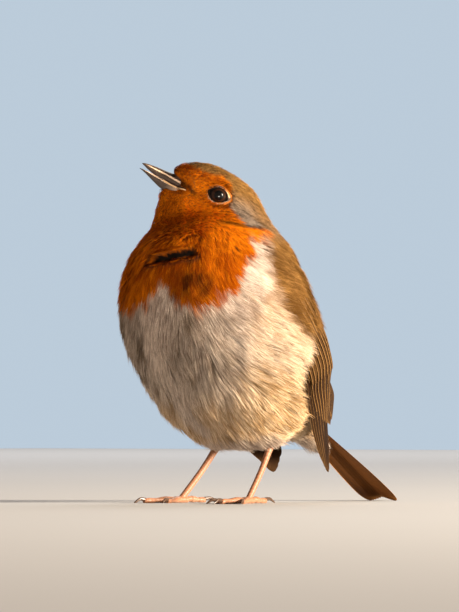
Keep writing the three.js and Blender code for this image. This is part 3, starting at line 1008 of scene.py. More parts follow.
def wing_place(points):
    """The share across and along of the nearest wing point, and its distance. Both wings are alike."""
    points = np.column_stack([np.abs(points[:, 0]), points[:, 1:]])
    place, distance = np.empty((len(points), 2)), np.empty(len(points))
    wing_squares = (WING_POINTS**2).sum(1)
    for start in range(0, len(points), 4000):
        some = slice(start, start + 4000)
        squares = wing_squares - 2 * points[some] @ WING_POINTS.T
        nearest = squares.argmin(1)
        place[some] = WING_GRID[nearest]
        distance[some] = np.linalg.norm(points[some] - WING_POINTS[nearest], axis=1)
    return place[:, 0], place[:, 1], distance


# %% [markdown]
# ## The small feathers
# Body feathers of a robin are loose at the edge: each ends in many fine barbs, and neighbours overlap
# like thatch. Hair systems could draw them, but hair isn't a solid mesh. So each feather is a tuft of
# narrow ribbons that share one path. The path rises out of the skin, lies down along the body and ends
# at the form's surface. Ribbons differ in length, roll and bend, so the tips fray.
#
# The tufts are built as arrays: first the roots, spread evenly over the skin, then the paths, then all
# ribbons at once. Each tuft has its own small patch on the map that is used for baking.

# %% Roots of the tufts
chance = np.random.default_rng(20)
WING_COVERTS_END = 0.3  # soft small feathers cover the wing down to this share of its length


def scatter(points, faces, spacing):
    """Random places on the skin, with about one for each `spacing`(place) squared mm."""
    corner = points[faces]
    across, along = corner[:, 2] - corner[:, 0], corner[:, 3] - corner[:, 1]
    area = np.linalg.norm(np.cross(across, along), axis=1) / 2
    want = area / spacing(corner.mean(1)) ** 2
    count = np.floor(want + chance.random(len(want))).astype(int)
    face = np.repeat(np.arange(len(faces)), count)
    s, t = chance.random(len(face))[:, None], chance.random(len(face))[:, None]
    a, b, c, d = (corner[face, k] for k in range(4))
    return (a * (1 - s) + b * s) * (1 - t) + (d * (1 - s) + c * s) * t


# %% Where no tufts grow
EYE_OPEN_ACROSS, EYE_OPEN_UP = 3.5, 2.8


def in_eye(points, margin):
    """True within `margin` mm of the eye's opening."""
    local = in_head(points)
    across = (local[:, 1] - EYE_BACK) / (EYE_OPEN_ACROSS + margin)
    up = (local[:, 2] - EYE_UP) / (EYE_OPEN_UP + margin)
    return (across**2 + up**2 < 1) & (np.abs(local[:, 0]) > 5)


def tuft_spacing(points):
    """Distance in mm between the roots of neighbouring tufts."""
    return 0.42 + 0.068 * feather_length(points)


roots = scatter(skin_points, skin_faces, tuft_spacing)
wing_across, wing_along, wing_distance = wing_place(roots)
edge_cover = -0.24 + 0.4 * smoothstep(roots[:, 2], 40, 60)  # the flank hides this share of the wing
wing_reach = 4 + 3 * smoothstep(roots[:, 2], 30, 46)
over_wing = (wing_across > edge_cover) & (wing_across < 0.995) & (wing_distance < wing_reach)
beside_wing = (wing_across <= edge_cover) & (wing_distance < 9)
hidden = over_wing & (wing_along > WING_COVERTS_END)
local = in_head(roots)
in_bill = (local[:, 1] < -15.2) & (np.abs(local[:, 0]) < 2.6) & (local[:, 2] > -3.6) & (local[:, 2] < 2.2)
above_slit, in_slit = slit_place(roots)
bare = hidden | in_bill | in_eye(roots, 0.6) | ((np.abs(above_slit) < 0.9) & (in_slit > 0.4))
roots = roots[~bare]
scapular = ((over_wing & ~hidden) * smoothstep(wing_along, 0.03, 0.22))[~bare]
beside_wing = beside_wing[~bare]
print("tufts:", len(roots))


# %% Tufts to ribbons
def ribbon_lines(path, sides, normals, tuft, half_width, frizz):
    """Each ribbon's middle line and flat direction, as it fans, bends, lifts and rolls in its tuft."""
    many, joints = len(tuft), path.shape[1]
    fan_out = chance.uniform(-1, 1, many)
    stretch = chance.uniform(0.72, 1.08, many)
    roll = np.radians(chance.normal(0, 24, many))
    bend = chance.normal(0, 1, many)
    rise = np.abs(chance.normal(0, 1, many))
    share = np.linspace(0, 1, joints)
    reach = share[None] * stretch[:, None] * (joints - 1)
    low = np.minimum(reach.astype(int), joints - 2)
    part = (reach - low)[..., None]
    row = tuft[:, None]
    middle = path[row, low] * (1 - part) + path[row, low + 1] * part
    side, normal = sides[tuft], normals[tuft]
    across = fan_out[:, None] * (0.45 + 0.55 * share) + 0.3 * bend[:, None] * share**2
    across *= half_width[tuft][:, None]
    lift = frizz[tuft][:, None] * rise[:, None] * share**2
    middle = middle + side * across[..., None] + normal * lift[..., None]
    cos, sin = np.cos(roll)[:, None, None], np.sin(roll)[:, None, None]
    return middle, side * cos + normal * sin


def tuft_ribbons(path, sides, normals, per_tuft, half_width, ribbon_width, frizz):
    """Tapered ribbons that follow each tuft's path: their points, faces and places in the tuft."""
    tufts, joints = path.shape[:2]
    tuft = np.repeat(np.arange(tufts), per_tuft)
    many, pairs = len(tuft), joints - 1
    middle, flat = ribbon_lines(path, sides, normals, tuft, half_width, frizz)
    share = np.linspace(0, 1, joints)
    taper = np.interp(share[:-1], [0, 0.4, 1], [0.75, 1, 0.45])
    half = flat[:, :-1] * (ribbon_width[tuft] / 2)[:, None, None] * taper[None, :, None]
    edges = np.stack([middle[:, :-1] - half, middle[:, :-1] + half], 2)
    points = np.concatenate([edges.reshape(many, pairs * 2, 3), middle[:, -1:]], 1)
    step = np.arange(pairs - 1) * 2
    quad = np.stack([step, step + 1, step + 3, step + 2], -1)
    first = (np.arange(many) * (pairs * 2 + 1))[:, None, None]
    quads = (first + quad[None]).reshape(-1, 4)
    tip = (first[:, :, 0] + np.arange(pairs * 2 - 2, pairs * 2 + 1)).reshape(-1, 3)
    along = np.append(np.repeat(share[:-1], 2), 1.0)
    corner = np.append(np.tile([-1.0, 1.0], pairs), 0.0)
    places = np.repeat(tuft, len(along)), np.tile(along, many), np.tile(corner, many)
    return points.reshape(-1, 3), [quads, tip], *places


# %% Places on the baking map
PATCH = 0.003  # width of a tuft's patch on the baking map


def bake_places(tuft_places, tuft, along, corner):
    """Each tuft's patch at its root's place, with ribbons drawn over all of the patch."""
    low, high = tuft_places.min(0), tuft_places.max(0)
    scaled = 0.01 + 0.98 * (tuft_places - low) / (high - low)
    patch = np.column_stack([corner / 2, along - 0.5]) * PATCH
    return scaled[tuft] + patch


# %% Size, tone and fit of the tufts
def tip_limit(height):
    """How far feathers of the flank may reach over the wing, as a share across it."""
    limits = [-0.15, -0.33, -0.35, -0.19, 0.02, 0.2, 0.3]
    return np.interp(height, [28, 33, 38, 44, 50, 60, 75], limits)


def spills(path, scapular_share):
    """True for tufts whose tips lie over the eye or too far over the wing."""
    tips = path[:, -1]
    across, along, away = wing_place(tips)
    over = (across > tip_limit(tips[:, 2])) & (away < 5) & (along > 0.3) & (scapular_share == 0)
    return over | in_eye(tips, 0.1)


def sized(start, scapulars, by_wing):
    """Length and lift of each tuft in mm. A few strays are longer and stand up."""
    length = feather_length(start) * chance.uniform(0.85, 1.15, len(start))
    above_slit, between = slit_place(start)
    over_slit = between * smoothstep(above_slit, 0, 1) * fade(above_slit, 7, 11)
    to_edge = np.maximum(above_slit * 0.95 + 0.2, 1.6)
    length = length + (np.minimum(length, to_edge) - length) * over_slit
    lift = chance.normal(0.12, 0.25, len(start)) * length / 8
    lift += 1.3 * over_slit + 1.2 * scapulars + 1.2 * by_wing
    stray = chance.random(len(start)) < 0.04 + 0.06 * headness(start)
    return length * (1 + 0.3 * stray), lift + 0.07 * length * stray


def paleness(start, marks):
    """How pale each tuft is, from its place and its colours, with painted light and shade by place: 0.5 is
    the middle.
    """
    head, olive, orange = headness(start), marks[:, 1], marks[:, 0]
    round_by, up = round_the_body(start), in_head(start)[:, 2]
    # The head is painted paler, as light on it.
    pale = 0.5 + 0.25 * ripple(start, 6, 5) + 0.24 * head
    # On the body, olive is a little darker, and the orange bib from its middle to the bird's left is painted
    # darker, as shade.
    pale -= (1 - head) * (0.25 * olive + 0.42 * orange * smoothstep(round_by, -10, 15))
    # On the head, the orange throat is painted paler, as light on it, and the orange forehead darker, as
    # shade.
    pale += head * orange * (0.34 * smoothstep(-up, 2, 7) - 0.45 * smoothstep(up, -1, 3))
    # Low on the breast towards the bird's left, and low on the body, the feathers are a little darker.
    pale -= 0.4 * peak(start[:, 2], 56, 66, 78) * smoothstep(round_by, 25, 50)
    return pale - 0.14 * fade(start[:, 2], 36, 48)


# %% One piece of coat
OLIVE_ONLY = np.array([0, 1, 0, 0, 0])  # the marks of the feathers over the shoulder


def combed(start, length, lift, scapulars, joints):
    """Paths of the tufts. Those that spill over the eye or wing are shortened, or else left out."""
    path, sides, normals = comb(start, length, lift, joints - 1)
    spill = spills(path, scapulars)
    length = np.where(spill, 0.6 * length, length)
    path[spill], sides[spill], normals[spill] = comb(start[spill], length[spill], lift[spill], joints - 1)
    return length, path, sides, normals, ~spills(path, scapulars)


def grow(name, slot, choose, joints, per_tuft):
    """One piece of coat from the chosen roots."""
    start, scapulars = roots[choose], scapular[choose]
    length, lift = sized(start, scapulars, beside_wing[choose])
    length, path, sides, normals, fits = combed(start, length, lift, scapulars, joints)
    start, length, path, sides, normals = (part[fits] for part in (start, length, path, sides, normals))
    marks = markings(path[:, joints // 2 + 1 if joints > 3 else -1])
    marks += (OLIVE_ONLY - marks) * smoothstep(scapulars[fits], 0, 0.2)[:, None]
    widths = 0.2 + 0.095 * length, 0.045 + 0.0155 * length
    made = tuft_ribbons(path, sides, normals, per_tuft, *widths, 0.05 + 0.02 * length)
    points, faces, tuft, along, corner = made
    pale = paleness(start, marks) + chance.normal(0, 0.18, len(start)) * (1 + 0.5 * headness(start))
    piece = new_piece(name, points, faces, coat_finish, slot)
    streak = np.repeat(chance.normal(0, 0.28, len(start) * per_tuft), 2 * joints - 1)
    keep_marks(piece, marks[tuft], np.clip(pale[tuft] + streak, 0, 1), along)
    keep_map(piece, "OFBake", bake_places(unwrap(start), tuft, along, corner))
    triangles = 2 * len(faces[0]) + len(faces[1])
    print(f"{name}: {len(start)} tufts, {triangles} triangles")
    return triangles


# %% Grow the coat
on_head_part = headness(roots) > 0.5
local = in_head(roots)
turn = round_the_body(roots)
z = roots[:, 2]
zones = [
    ("coat_face", "plumage_orange", on_head_part & (local[:, 1] < 1) & (local[:, 2] > -6), 3, 12),
    ("coat_throat", "plumage_orange", on_head_part & (local[:, 2] < -4) & (np.abs(turn) < 90), 4, 16),
    ("coat_crown", "plumage_olive", on_head_part, 4, 15),
    ("coat_back_left", "plumage_olive", (turn > 104) & (z > 38), 4, 12),
    ("coat_back_right", "plumage_olive", (turn < -104) & (z > 38), 4, 12),
    ("coat_rump", "plumage_olive", (roots[:, 1] > 27), 4, 14),
    ("coat_breast_left", "plumage_orange", (z > 64) & (turn >= 0), 4, 20),
    ("coat_breast_right", "plumage_orange", (z > 64), 4, 20),
    ("coat_belly_left", "plumage_cream", (turn >= 0) & (turn < 56), 4, 22),
    ("coat_belly_right", "plumage_cream", (turn < 0) & (turn > -56), 4, 22),
    ("coat_flank_left", "plumage_buff", turn >= 0, 4, 21),
    ("coat_flank_right", "plumage_buff", turn < 0, 4, 21),
]
free = np.ones(len(roots), bool)
total = 0
for name, slot, where, joints, per_tuft in zones:
    total += grow(name, slot, where & free, joints, per_tuft)
    free &= ~where
print("coat triangles:", total)

# %% [markdown]
# ## Flight feathers
# The large feathers of wing and tail are stiff vanes: a shaft, a narrow web on the outer side and a
# broad web on the inner side, each made of fine parallel barbs. A folded wing stacks them like a fan,
# with the ones nearest the spine on top, so each shows little more than its outer web. A vane here is
# a grid of points on the wing's surface, a little arched across, with a rounded tip. Barbs are too fine
# to model one by one, so a node group draws them as bump and tone from each vane's own places.

# %% Flight feather finish
BARB_SPACING = 0.42  # mm
VANE_BROWN, VANE_DARK = (0.038, 0.015, 0.004, 1), (0.008, 0.004, 0.002, 1)
VANE_EDGE, VANE_PALE_EDGE = (0.16, 0.078, 0.024, 1), (0.38, 0.21, 0.07, 1)
COVERT_OLIVE = (0.26, 0.135, 0.042, 1)

barbs_group, given, result = new_group(
    "barbs", {"Across": 0.0, "Along mm": 0.0, "Shaft at": -0.35}, {"Height": "Float", "Shaft": "Float"}
)
from_shaft = apart(barbs_group, given["Across"], given["Shaft at"])
slope = calculate(barbs_group, "MULTIPLY_ADD", from_shaft, -3.2, given["Along mm"])
wave = calculate(barbs_group, "SINE", times(barbs_group, slope, 2 * math.pi / BARB_SPACING))
wire(barbs_group, calculate(barbs_group, "MULTIPLY_ADD", wave, 0.5, 0.5), result["Height"])
wire(barbs_group, spread(barbs_group, from_shaft, 0.1, 0.03), result["Shaft"])


# %% Vane finishes
def vane_material(name, paler_underside_and_painted_light):
    """Brown vanes with a pale outer edge. The second argument is how much lighter their other side is: partly
    that side's paler colour and partly painted light.
    """
    material, tree, shader = finish_with(name, Roughness=0.6, Specular_IOR_Level=0.05)
    across, along, luck = stored(tree, "vane")
    tip_share, olive_share, edge_width = stored(tree, "vane_more")
    barbs = use(tree, barbs_group, {"Across": across, "Along mm": along})
    worn = noise(tree, 900, 4.0)
    wear = calculate(tree, "MULTIPLY_ADD", worn, 0.6, times(tree, luck, 0.4))
    base = blend(tree, wear, VANE_DARK, VANE_BROWN)
    base = blend(tree, olive_share, base, blend(tree, worn, OLIVE, COVERT_OLIVE))
    edge_tone = blend(tree, worn, VANE_EDGE, VANE_PALE_EDGE)
    from_edge = minus(tree, calculate(tree, "MULTIPLY_ADD", worn, 0.1, across), edge_width)
    edge = spread(tree, from_edge, -0.95, -1.08)
    colour = blend(tree, edge, base, edge_tone)
    groove = calculate(tree, "MULTIPLY_ADD", barbs["Height"], 0.5, 0.5)
    lined = blend(tree, 0.55, colour, groove, "MULTIPLY")
    colour = blend(tree, times(tree, barbs["Shaft"], 0.7), lined, VANE_DARK)
    colour = blend(tree, times(tree, tip_share, 0.2), colour, VANE_EDGE)
    under = add(tree, "NewGeometry").outputs["Backfacing"]
    # The other side is painted lighter: partly its own paler colour and partly painted light.
    colour = blend(tree, under, colour, blend(tree, 1.0, colour, paler_underside_and_painted_light, "MULTIPLY"))
    wire(tree, colour, shader["Base Color"])
    wire(tree, spread(tree, barbs["Shaft"], 0, 1, 0.62, 0.42), shader["Roughness"])
    height = calculate(tree, "MULTIPLY_ADD", barbs["Shaft"], 2.0, barbs["Height"])
    roughen(tree, shader, height, 0.6, 0.00012)
    return material


wing_finish = vane_material("wing vanes", (1.2, 1.2, 1.3, 1))
# The tail's underside lies in shade, so it is painted many times lighter: partly its paler colour and partly
# painted light.
tail_finish = vane_material("tail vanes", (11, 10, 8.5, 1))

# %% Vanes of the wing
VANE_ROWS, VANE_COLUMNS = 26, 9
# name, count, then for the vane nearest the leading edge and the one nearest the spine: share across
# at the root, share across at the tip, share along at the root, share along at the tip; then the
# width in mm and both lifts in mm
WING_ROWS = [
    ("primary", 7, (-0.5, 0.2), (0.3, 0.85), (0.36, 0.4), (0.95, 0.93), 4.6, (-1.0, -0.4)),
    ("secondary", 8, (-0.45, 0.5), (0.35, 0.95), (0.35, 0.36), (0.78, 0.83), 4.2, (-0.5, 0.3)),
    ("tertial", 5, (0.35, 0.92), (0.72, 1.0), (0.3, 0.32), (0.75, 0.81), 5.4, (0.1, 0.62)),
    ("inner_layer", 4, (0.25, 0.85), (0.5, 0.93), (0.2, 0.2), (0.68, 0.72), 8.0, (-0.25, 0.1)),
    ("primary_covert", 7, (-0.5, -0.1), (-0.32, 0.1), (0.3, 0.3), (0.62, 0.56), 2.2, (-0.6, 0.0)),
    ("greater_covert", 13, (-0.3, 0.85), (-0.02, 0.97), (0.24, 0.26), (0.6, 0.5), 3.2, (0.1, 0.9)),
    ("median_covert", 11, (-0.1, 0.9), (0.06, 0.97), (0.16, 0.18), (0.42, 0.38), 3.4, (0.2, 1.0)),
]
VANE_TONES = {  # share of olive, and width of the pale edge as a share of half a vane
    "primary": (0.0, 0.13),
    "secondary": (0.05, 0.24),
    "tertial": (0.2, 0.22),
    "inner_layer": (0.1, 0.1),
    "primary_covert": (0.1, 0.2),
    "greater_covert": (0.3, 0.34),
    "median_covert": (0.8, 0.4),
}
WING_POINT = 0.05  # how far the longest primaries pass the shortest, as a share of the wing


# %% Shape of a vane
def vane_shape(share):
    """Half the width of a vane along its length: narrow at the root, full, then a round tip."""
    start = smoothstep(share, -0.25, 0.3)
    tip = np.sqrt(np.clip(1 - (np.clip(share - 0.9, 0, 1) / 0.1) ** 2.8, 0, 1))
    return start * tip


def wing_width(along):
    """Width of the folded wing in mm."""
    return np.linalg.norm(through(LEADING_EDGE, along) - through(SPINE_EDGE, along), axis=1)


vane_share = 1 - (1 - np.linspace(0, 1, VANE_ROWS)) ** 1.6
vane_across = np.linspace(-1, 1, VANE_COLUMNS)


def wing_vane(root, tip, start, end, width, lift, side):
    """Points of one vane, row by row, on a wing. It runs from `root` to `tip` across the wing."""
    along = start + (end - start) * vane_share
    half = width / 2 * vane_shape(vane_share) / wing_width(along)
    middle = root + (tip - root) * vane_share
    across = middle[:, None] + half[:, None] * vane_across
    inwards = np.clip(middle, 0, 1)[:, None]
    arch = (0.08 + 0.2 * inwards) * (1 - vane_across**2) - 0.24 * (1 - inwards) * vane_across
    height = lift + arch * vane_shape(vane_share)[:, None] - 0.35 * (1 - vane_share[:, None]) ** 2
    height -= 0.3 * smoothstep(vane_share, 0.6, 1)[:, None]
    return on_wing(across, along[:, None], height, side).reshape(-1, 3)


# %% Vanes to a piece
def vane_piece(name, vanes, lengths, tones, material, replaces):
    """Joins vanes into one piece and stores each vane's own places for the finish."""
    count, size = len(vanes), VANE_ROWS * VANE_COLUMNS
    faces = []
    for i, vane in enumerate(vanes):
        grid = vane.reshape(VANE_ROWS, VANE_COLUMNS, 3)
        facing = np.cross(grid[8, 5] - grid[8, 4], grid[9, 4] - grid[8, 4])
        inwards = facing[2] + 2 * np.sign(grid[8, 4, 0]) * facing[0] < 0
        faces.append(grid_faces(VANE_ROWS, VANE_COLUMNS, size * i)[:, :: -1 if inwards else 1])
    faces = np.vstack(faces)
    points = np.vstack(vanes)
    points[:, 2] = np.maximum(points[:, 2], 0)
    piece = new_piece(name, points, faces, material, "plumage_brown", replaces=replaces)
    across = np.tile(vane_across, VANE_ROWS * count)
    share = np.tile(np.repeat(vane_share, VANE_COLUMNS), count)
    length = np.repeat(lengths, size)
    luck = np.repeat(chance.uniform(0, 1, count), size)
    keep(piece, "vane", across, share * length, luck)
    keep(piece, "vane_more", smoothstep(share, 0.93, 1), np.repeat(tones, size, 0))
    columns = math.ceil(math.sqrt(count))
    cell = np.repeat(np.arange(count), size)
    flat = np.column_stack([cell % columns + 0.5 + 0.45 * across, cell // columns + 0.04 + 0.92 * share])
    keep_map(piece, "OFBake", flat / columns)


# %% Both wings
for side_name, side in SIDES.items():
    vanes, lengths, tones = [], [], []
    for kind, count, roots_at, tips_at, starts, ends, width, lifts in WING_ROWS:
        for i in range(count):
            part = i / (count - 1)
            ranges = (roots_at, tips_at, starts, ends, lifts)
            root, tip, start, end, lift = (first + (last - first) * part for first, last in ranges)
            if kind == "primary":
                end += WING_POINT * math.sin(math.pi * (0.1 + 0.8 * part))
            vanes.append(wing_vane(root, tip, start, end, width, lift, side))
            lengths.append((end - start) * WING_LENGTH)
            tones.append(VANE_TONES[kind])
    names = [f"wing_{part}_{side_name}" for part in ("coverts", "tertials", "primaries")]
    vane_piece(f"wing_vanes_{side_name}", vanes, lengths, tones, wing_finish, names)

# %% [markdown]
# ## Tail
# A robin's tail has twelve feathers, six on each side, almost square at the end. The middle pair lies
# on top. They are laid on the same slightly crowned fan as the solid tail and end at floor level.

# %% Tail vanes
TAIL_ROOT = np.array([0, 39, 31.6])
TAIL_SLOPE = math.radians(33.5)
TAIL_LENGTH, TAIL_ROOT_WIDTH, TAIL_TIP_WIDTH = 58.0, 8.5, 16.5
TAIL_PAIRS = 6


def on_tail(across, along, lift):
    """Points on the tail, `across` from -1 to 1 and `along` from 0 to 1."""
    across, along = np.broadcast_arrays(across, along)
    notch = 1 - 1.4 * (1 - np.abs(across)) ** 2 / TAIL_LENGTH - 0.03 * across**4
    width = TAIL_ROOT_WIDTH + (TAIL_TIP_WIDTH - TAIL_ROOT_WIDTH) * smoothstep(along, 0, 0.9)
    crown = 1.3 * (1 - across**2) * (1 - 0.6 * along)
    way = np.array([0, math.cos(TAIL_SLOPE), -math.sin(TAIL_SLOPE)])
    up = np.array([0, math.sin(TAIL_SLOPE), math.cos(TAIL_SLOPE)])
    points = TAIL_ROOT + way * (TAIL_LENGTH * along * notch)[..., None] + up * (crown + lift)[..., None]
    points[..., 0] += across * width / 2
    return points


# %% Tail feathers
vanes = []
for side in (-1, 1):
    for pair in range(TAIL_PAIRS):
        outwards_share = (pair + 0.35) / TAIL_PAIRS
        half = 0.27 * vane_shape(0.1 + 0.9 * vane_share)[:, None]
        across = side * outwards_share * 0.8 - side * vane_across[None] * half
        arch = 0.22 * (1 - vane_across**2) - 0.12 * vane_across
        lift = 0.55 - 0.16 * pair + arch[None] * (1 - 0.3 * vane_share[:, None]) + 0.02 * side
        vanes.append(on_tail(across, 0.02 + 0.98 * vane_share[:, None], lift).reshape(-1, 3))
lengths, tones = np.full(len(vanes), TAIL_LENGTH), np.tile([0, 0.12], (len(vanes), 1))
vane_piece("tail_vanes", vanes, lengths, tones, tail_finish, ["tail"])

# %% [markdown]
# ## Eyes
# A robin's eye is large and looks black: a very dark brown iris round a wide pupil, under a clear
# cornea that bulges. The ball is a sphere whose front swells a little. Each point stores its angle
# from the line of sight, and the finish draws pupil and iris from that angle.

# %% Eyes
PUPIL, IRIS = 27.0, 44.0  # degrees from the line of sight
CORNEA_SWELL = 0.3

eye_finish, tree, shader = finish_with(
    "eye", Roughness=0.4, Coat_Weight=0.5, Coat_Roughness=0.02, Coat_IOR=1.38, Specular_IOR_Level=0.03
)
sight = stored(tree, "sight")[0]
_, iris = mottle(tree, 2200, 3.0, (0.01, 0.004, 0.002, 1), (0.03, 0.011, 0.005, 1))
inner = blend(tree, spread(tree, sight, PUPIL - 1.5, PUPIL + 1.5), (0.002, 0.002, 0.002, 1), iris)
outer = blend(tree, spread(tree, sight, IRIS - 4, IRIS + 4), inner, (0.006, 0.004, 0.003, 1))
wire(tree, outer, shader["Base Color"])


# %% Eyeballs
def eyeball(side, rings=40, around=48):
    """Points of an eyeball, its faces and each point's angle from the line of sight."""
    angle = np.linspace(0, math.pi, rings + 1)[1:-1]
    turn = np.linspace(0, 2 * math.pi, around, endpoint=False)
    swell = fade(np.degrees(angle), 12, 40)
    radius = EYE_RADIUS + CORNEA_SWELL * (swell - 1)
    out = np.outer(radius * np.cos(angle), np.ones(around))
    wide = radius * np.sin(angle)
    circles = np.stack([out, np.outer(wide, np.cos(turn)), np.outer(wide, np.sin(turn))], -1).reshape(-1, 3)
    points = np.vstack([circles, [EYE_RADIUS, 0, 0], [-EYE_RADIUS + CORNEA_SWELL, 0, 0]])
    front, back = len(circles), len(circles) + 1
    ends = np.vstack([fan(front, 0, around, -1), fan(back, front - around, around)])
    angles = np.append(np.repeat(np.degrees(angle), around), [0, 180])
    placed_points = eye_centre(side) + (points * [side, 1, 1]) @ HEAD_TURN.T
    return placed_points, [grid_faces(rings - 1, around, wrap=True), ends], angles


for side_name, side in SIDES.items():
    points, faces, angles = eyeball(side)
    ball = new_piece(f"eyeball_{side_name}", points, faces, eye_finish, "eye", replaces=[f"eye_{side_name}"])
    keep(ball, "sight", angles)

# %% [markdown]
# ## Eyelids
# The lids are thin folds with a black rim, and outside it runs a ring of tiny pale feathers that is
# widest behind the eye. The fold is a grid of rings: the inner ones lie on the eyeball and the outer
# ones sink under the feathers of the face.

# %% Eyelids
LID_ACROSS, LID_UP = 2.98, 2.55  # half the opening in mm
LID_SCALES = [0.94, 0.985, 1.02, 1.07, 1.13, 1.22, 1.4, 1.75]  # each ring's size, where 1 is the opening
LID_HEIGHTS = [-0.25, 0.0, 0.08, 0.1, 0.06, 0.02, 0, 0]  # mm above the eyeball
LID_AROUND = 64
LID_ORANGE, LID_BLACK = (0.3, 0.09, 0.01, 1), (0.012, 0.008, 0.006, 1)


def lid_points(scale, above_ball, angle, side):
    """Points round the eye's opening at `scale` of its size. Both corners are drawn out a little."""
    scale = np.broadcast_to(scale, angle.shape)
    corner = 1 + 0.13 * np.abs(np.cos(angle)) ** 10
    across = scale * LID_ACROSS * np.cos(angle) * corner
    up = scale * LID_UP * np.sin(angle)
    ball = EYE_RADIUS + above_ball
    out = np.sqrt(np.maximum(ball**2 - across**2 - up**2, 0.2))
    points = eye_centre(side) + np.stack([side * out, across, up], -1) @ HEAD_TURN.T
    sunk = settle(points, -0.32 - 0.7 * smoothstep(scale, 1.35, 1.8), 4)
    share = smoothstep(scale, 1.04, 1.34)[:, None]
    return points * (1 - share) + sunk * share


# %% Eyelid finish
def ring_warmth(angle):
    """1 above and in front of the eye, where the ring is orange, and 0 behind and below it."""
    return smoothstep(np.sin(angle) - 1.2 * np.cos(angle), -0.2, 0.9)


lid_finish, tree, shader = finish_with("eyelid", Roughness=0.6, Specular_IOR_Level=0.15)
ring_scale, ring_warm, _ = stored(tree, "ring")
folds, pale = mottle(tree, 3000, 3.0, (0.3, 0.19, 0.09, 1), (0.46, 0.33, 0.18, 1))
outside = blend(tree, ring_warm, pale, LID_ORANGE)
rim = blend(tree, spread(tree, ring_scale, 1.08, 1.13), LID_BLACK, outside)
wire(tree, blend(tree, spread(tree, ring_scale, 1.2, 1.35), rim, LID_ORANGE), shader["Base Color"])
roughen(tree, shader, folds, 0.4, 0.0001)


# %% Lids
lid_angle = np.linspace(0, 2 * math.pi, LID_AROUND, endpoint=False)
lid_faces = grid_faces(len(LID_SCALES), LID_AROUND, wrap=True)
for side_name, side in SIDES.items():
    rings = [lid_points(*ring, lid_angle, side) for ring in zip(LID_SCALES, LID_HEIGHTS)]
    lid = new_piece(f"eyelid_{side_name}", np.vstack(rings), lid_faces, lid_finish, "plumage_orange")
    warm = np.tile(ring_warmth(lid_angle), len(LID_SCALES))
    keep(lid, "ring", np.repeat(LID_SCALES, LID_AROUND), warm)

# %% Ring of pale feathers
RING_TUFTS, RING_RIBBONS = 110, 7
RING_WIDTHS = [np.full(RING_TUFTS, width) for width in (0.14, 0.07, 0.03)]  # of a tuft, of a ribbon, frizz
for side_name, side in SIDES.items():
    angle = np.linspace(0, 2 * math.pi, RING_TUFTS, endpoint=False)
    angle += chance.uniform(-0.03, 0.03, RING_TUFTS)
    scale = chance.uniform(1.1, 1.17, RING_TUFTS)
    rear = np.maximum(np.cos(angle + 0.5), 0) ** 6
    path = []
    for share in (0, 0.5, 1):
        swept = angle - np.sin(angle) * 0.16 * share
        grown = scale + (0.05 + 0.22 * rear) * share
        path.append(lid_points(grown, 0.22, swept, side))
    path = np.stack(path, 1)
    normals = np.stack([outwards(path[:, k]) for k in range(3)], 1)
    path += normals * np.array([0, 0.14, 0.2])[None, :, None]
    sides = unit(np.cross(normals, np.gradient(path, axis=1)))
    made = tuft_ribbons(path, sides, normals, RING_RIBBONS, *RING_WIDTHS)
    points, faces, tuft, along, corner = made
    feathers = new_piece(f"coat_eye_ring_{side_name}", points, faces, coat_finish, "plumage_cream")
    none = np.zeros(len(tuft))
    marks = np.column_stack([0.15 + 0.8 * ring_warmth(angle)[tuft], none, none, none + 0.5, none])
    keep_marks(feathers, marks, chance.uniform(0.2, 0.7, RING_TUFTS)[tuft], along)
    flat = np.column_stack([np.cos(angle), np.sin(angle)])
    keep_map(feathers, "OFBake", bake_places(flat, tuft, along, corner))

# %% [markdown]
# ## Bill
# The bill is two horny shells. The upper one has a ridge along its top, and both have a sharp cutting
# edge. Each shell is a loft: at every station along the bill a closed section runs from one cutting
# edge over the outside to the other, and back across the inside, which is hollowed a little.

# %% Bill
BILL_STATIONS = 56
BILL_SECTION = 17  # points over the outside, and as many across the inside
BILL_BACK = [-12, -16, -20, -24, -27, -28.6, -29.3]
BILL_HALF_WIDTH = [4.6, 3.3, 2.2, 1.4, 0.82, 0.42, 0.1]
CULMEN_UP = [2.3, 2.0, 1.6, 1.42, 1.12, 0.78, 0.45]
UPPER_EDGE_UP = [-2.0, -1.8, -1.62, -1.2, -0.45, 0.08, 0.3]
LOWER_BACK = [-12, -16, -20, -24, -27, -28.6, -29.4]
LOWER_HALF_WIDTH = [4.6, 3.2, 2.0, 1.25, 0.72, 0.4, 0.08]
LOWER_EDGE_UP = [-2.15, -2.05, -1.82, -1.5, -1.38, -1.36, -1.42]
KEEL_UP = [-5.3, -5.0, -4.6, -3.3, -2.2, -1.72, -1.55]
NOSTRIL_BACK, NOSTRIL_RISE = -18.2, 0.78


# %% Bill finish
bill_finish, tree, shader = finish_with("bill horn", Roughness=0.3, Specular_IOR_Level=0.5)
horn_back, horn_rise, horn_half = stored(tree, "horn")  # horn_half: 0 upper, 1 lower, 2 inside
horn_lower = calculate(tree, "GREATER_THAN", horn_half, 0.5)
streaks, horn = mottle(tree, 1500, 4.0, (0.02, 0.014, 0.011, 1), (0.085, 0.058, 0.042, 1))
# Pale horn for the lower shell's pale base, for its pale cutting edge, which is partly its own colour and
# partly painted light, and for a painted highlight along the side of the upper shell.
edge = blend(tree, streaks, (0.5, 0.34, 0.22, 1), (0.85, 0.66, 0.48, 1))
near_edge = times(tree, spread(tree, horn_rise, 0.26, 0.14), horn_lower)
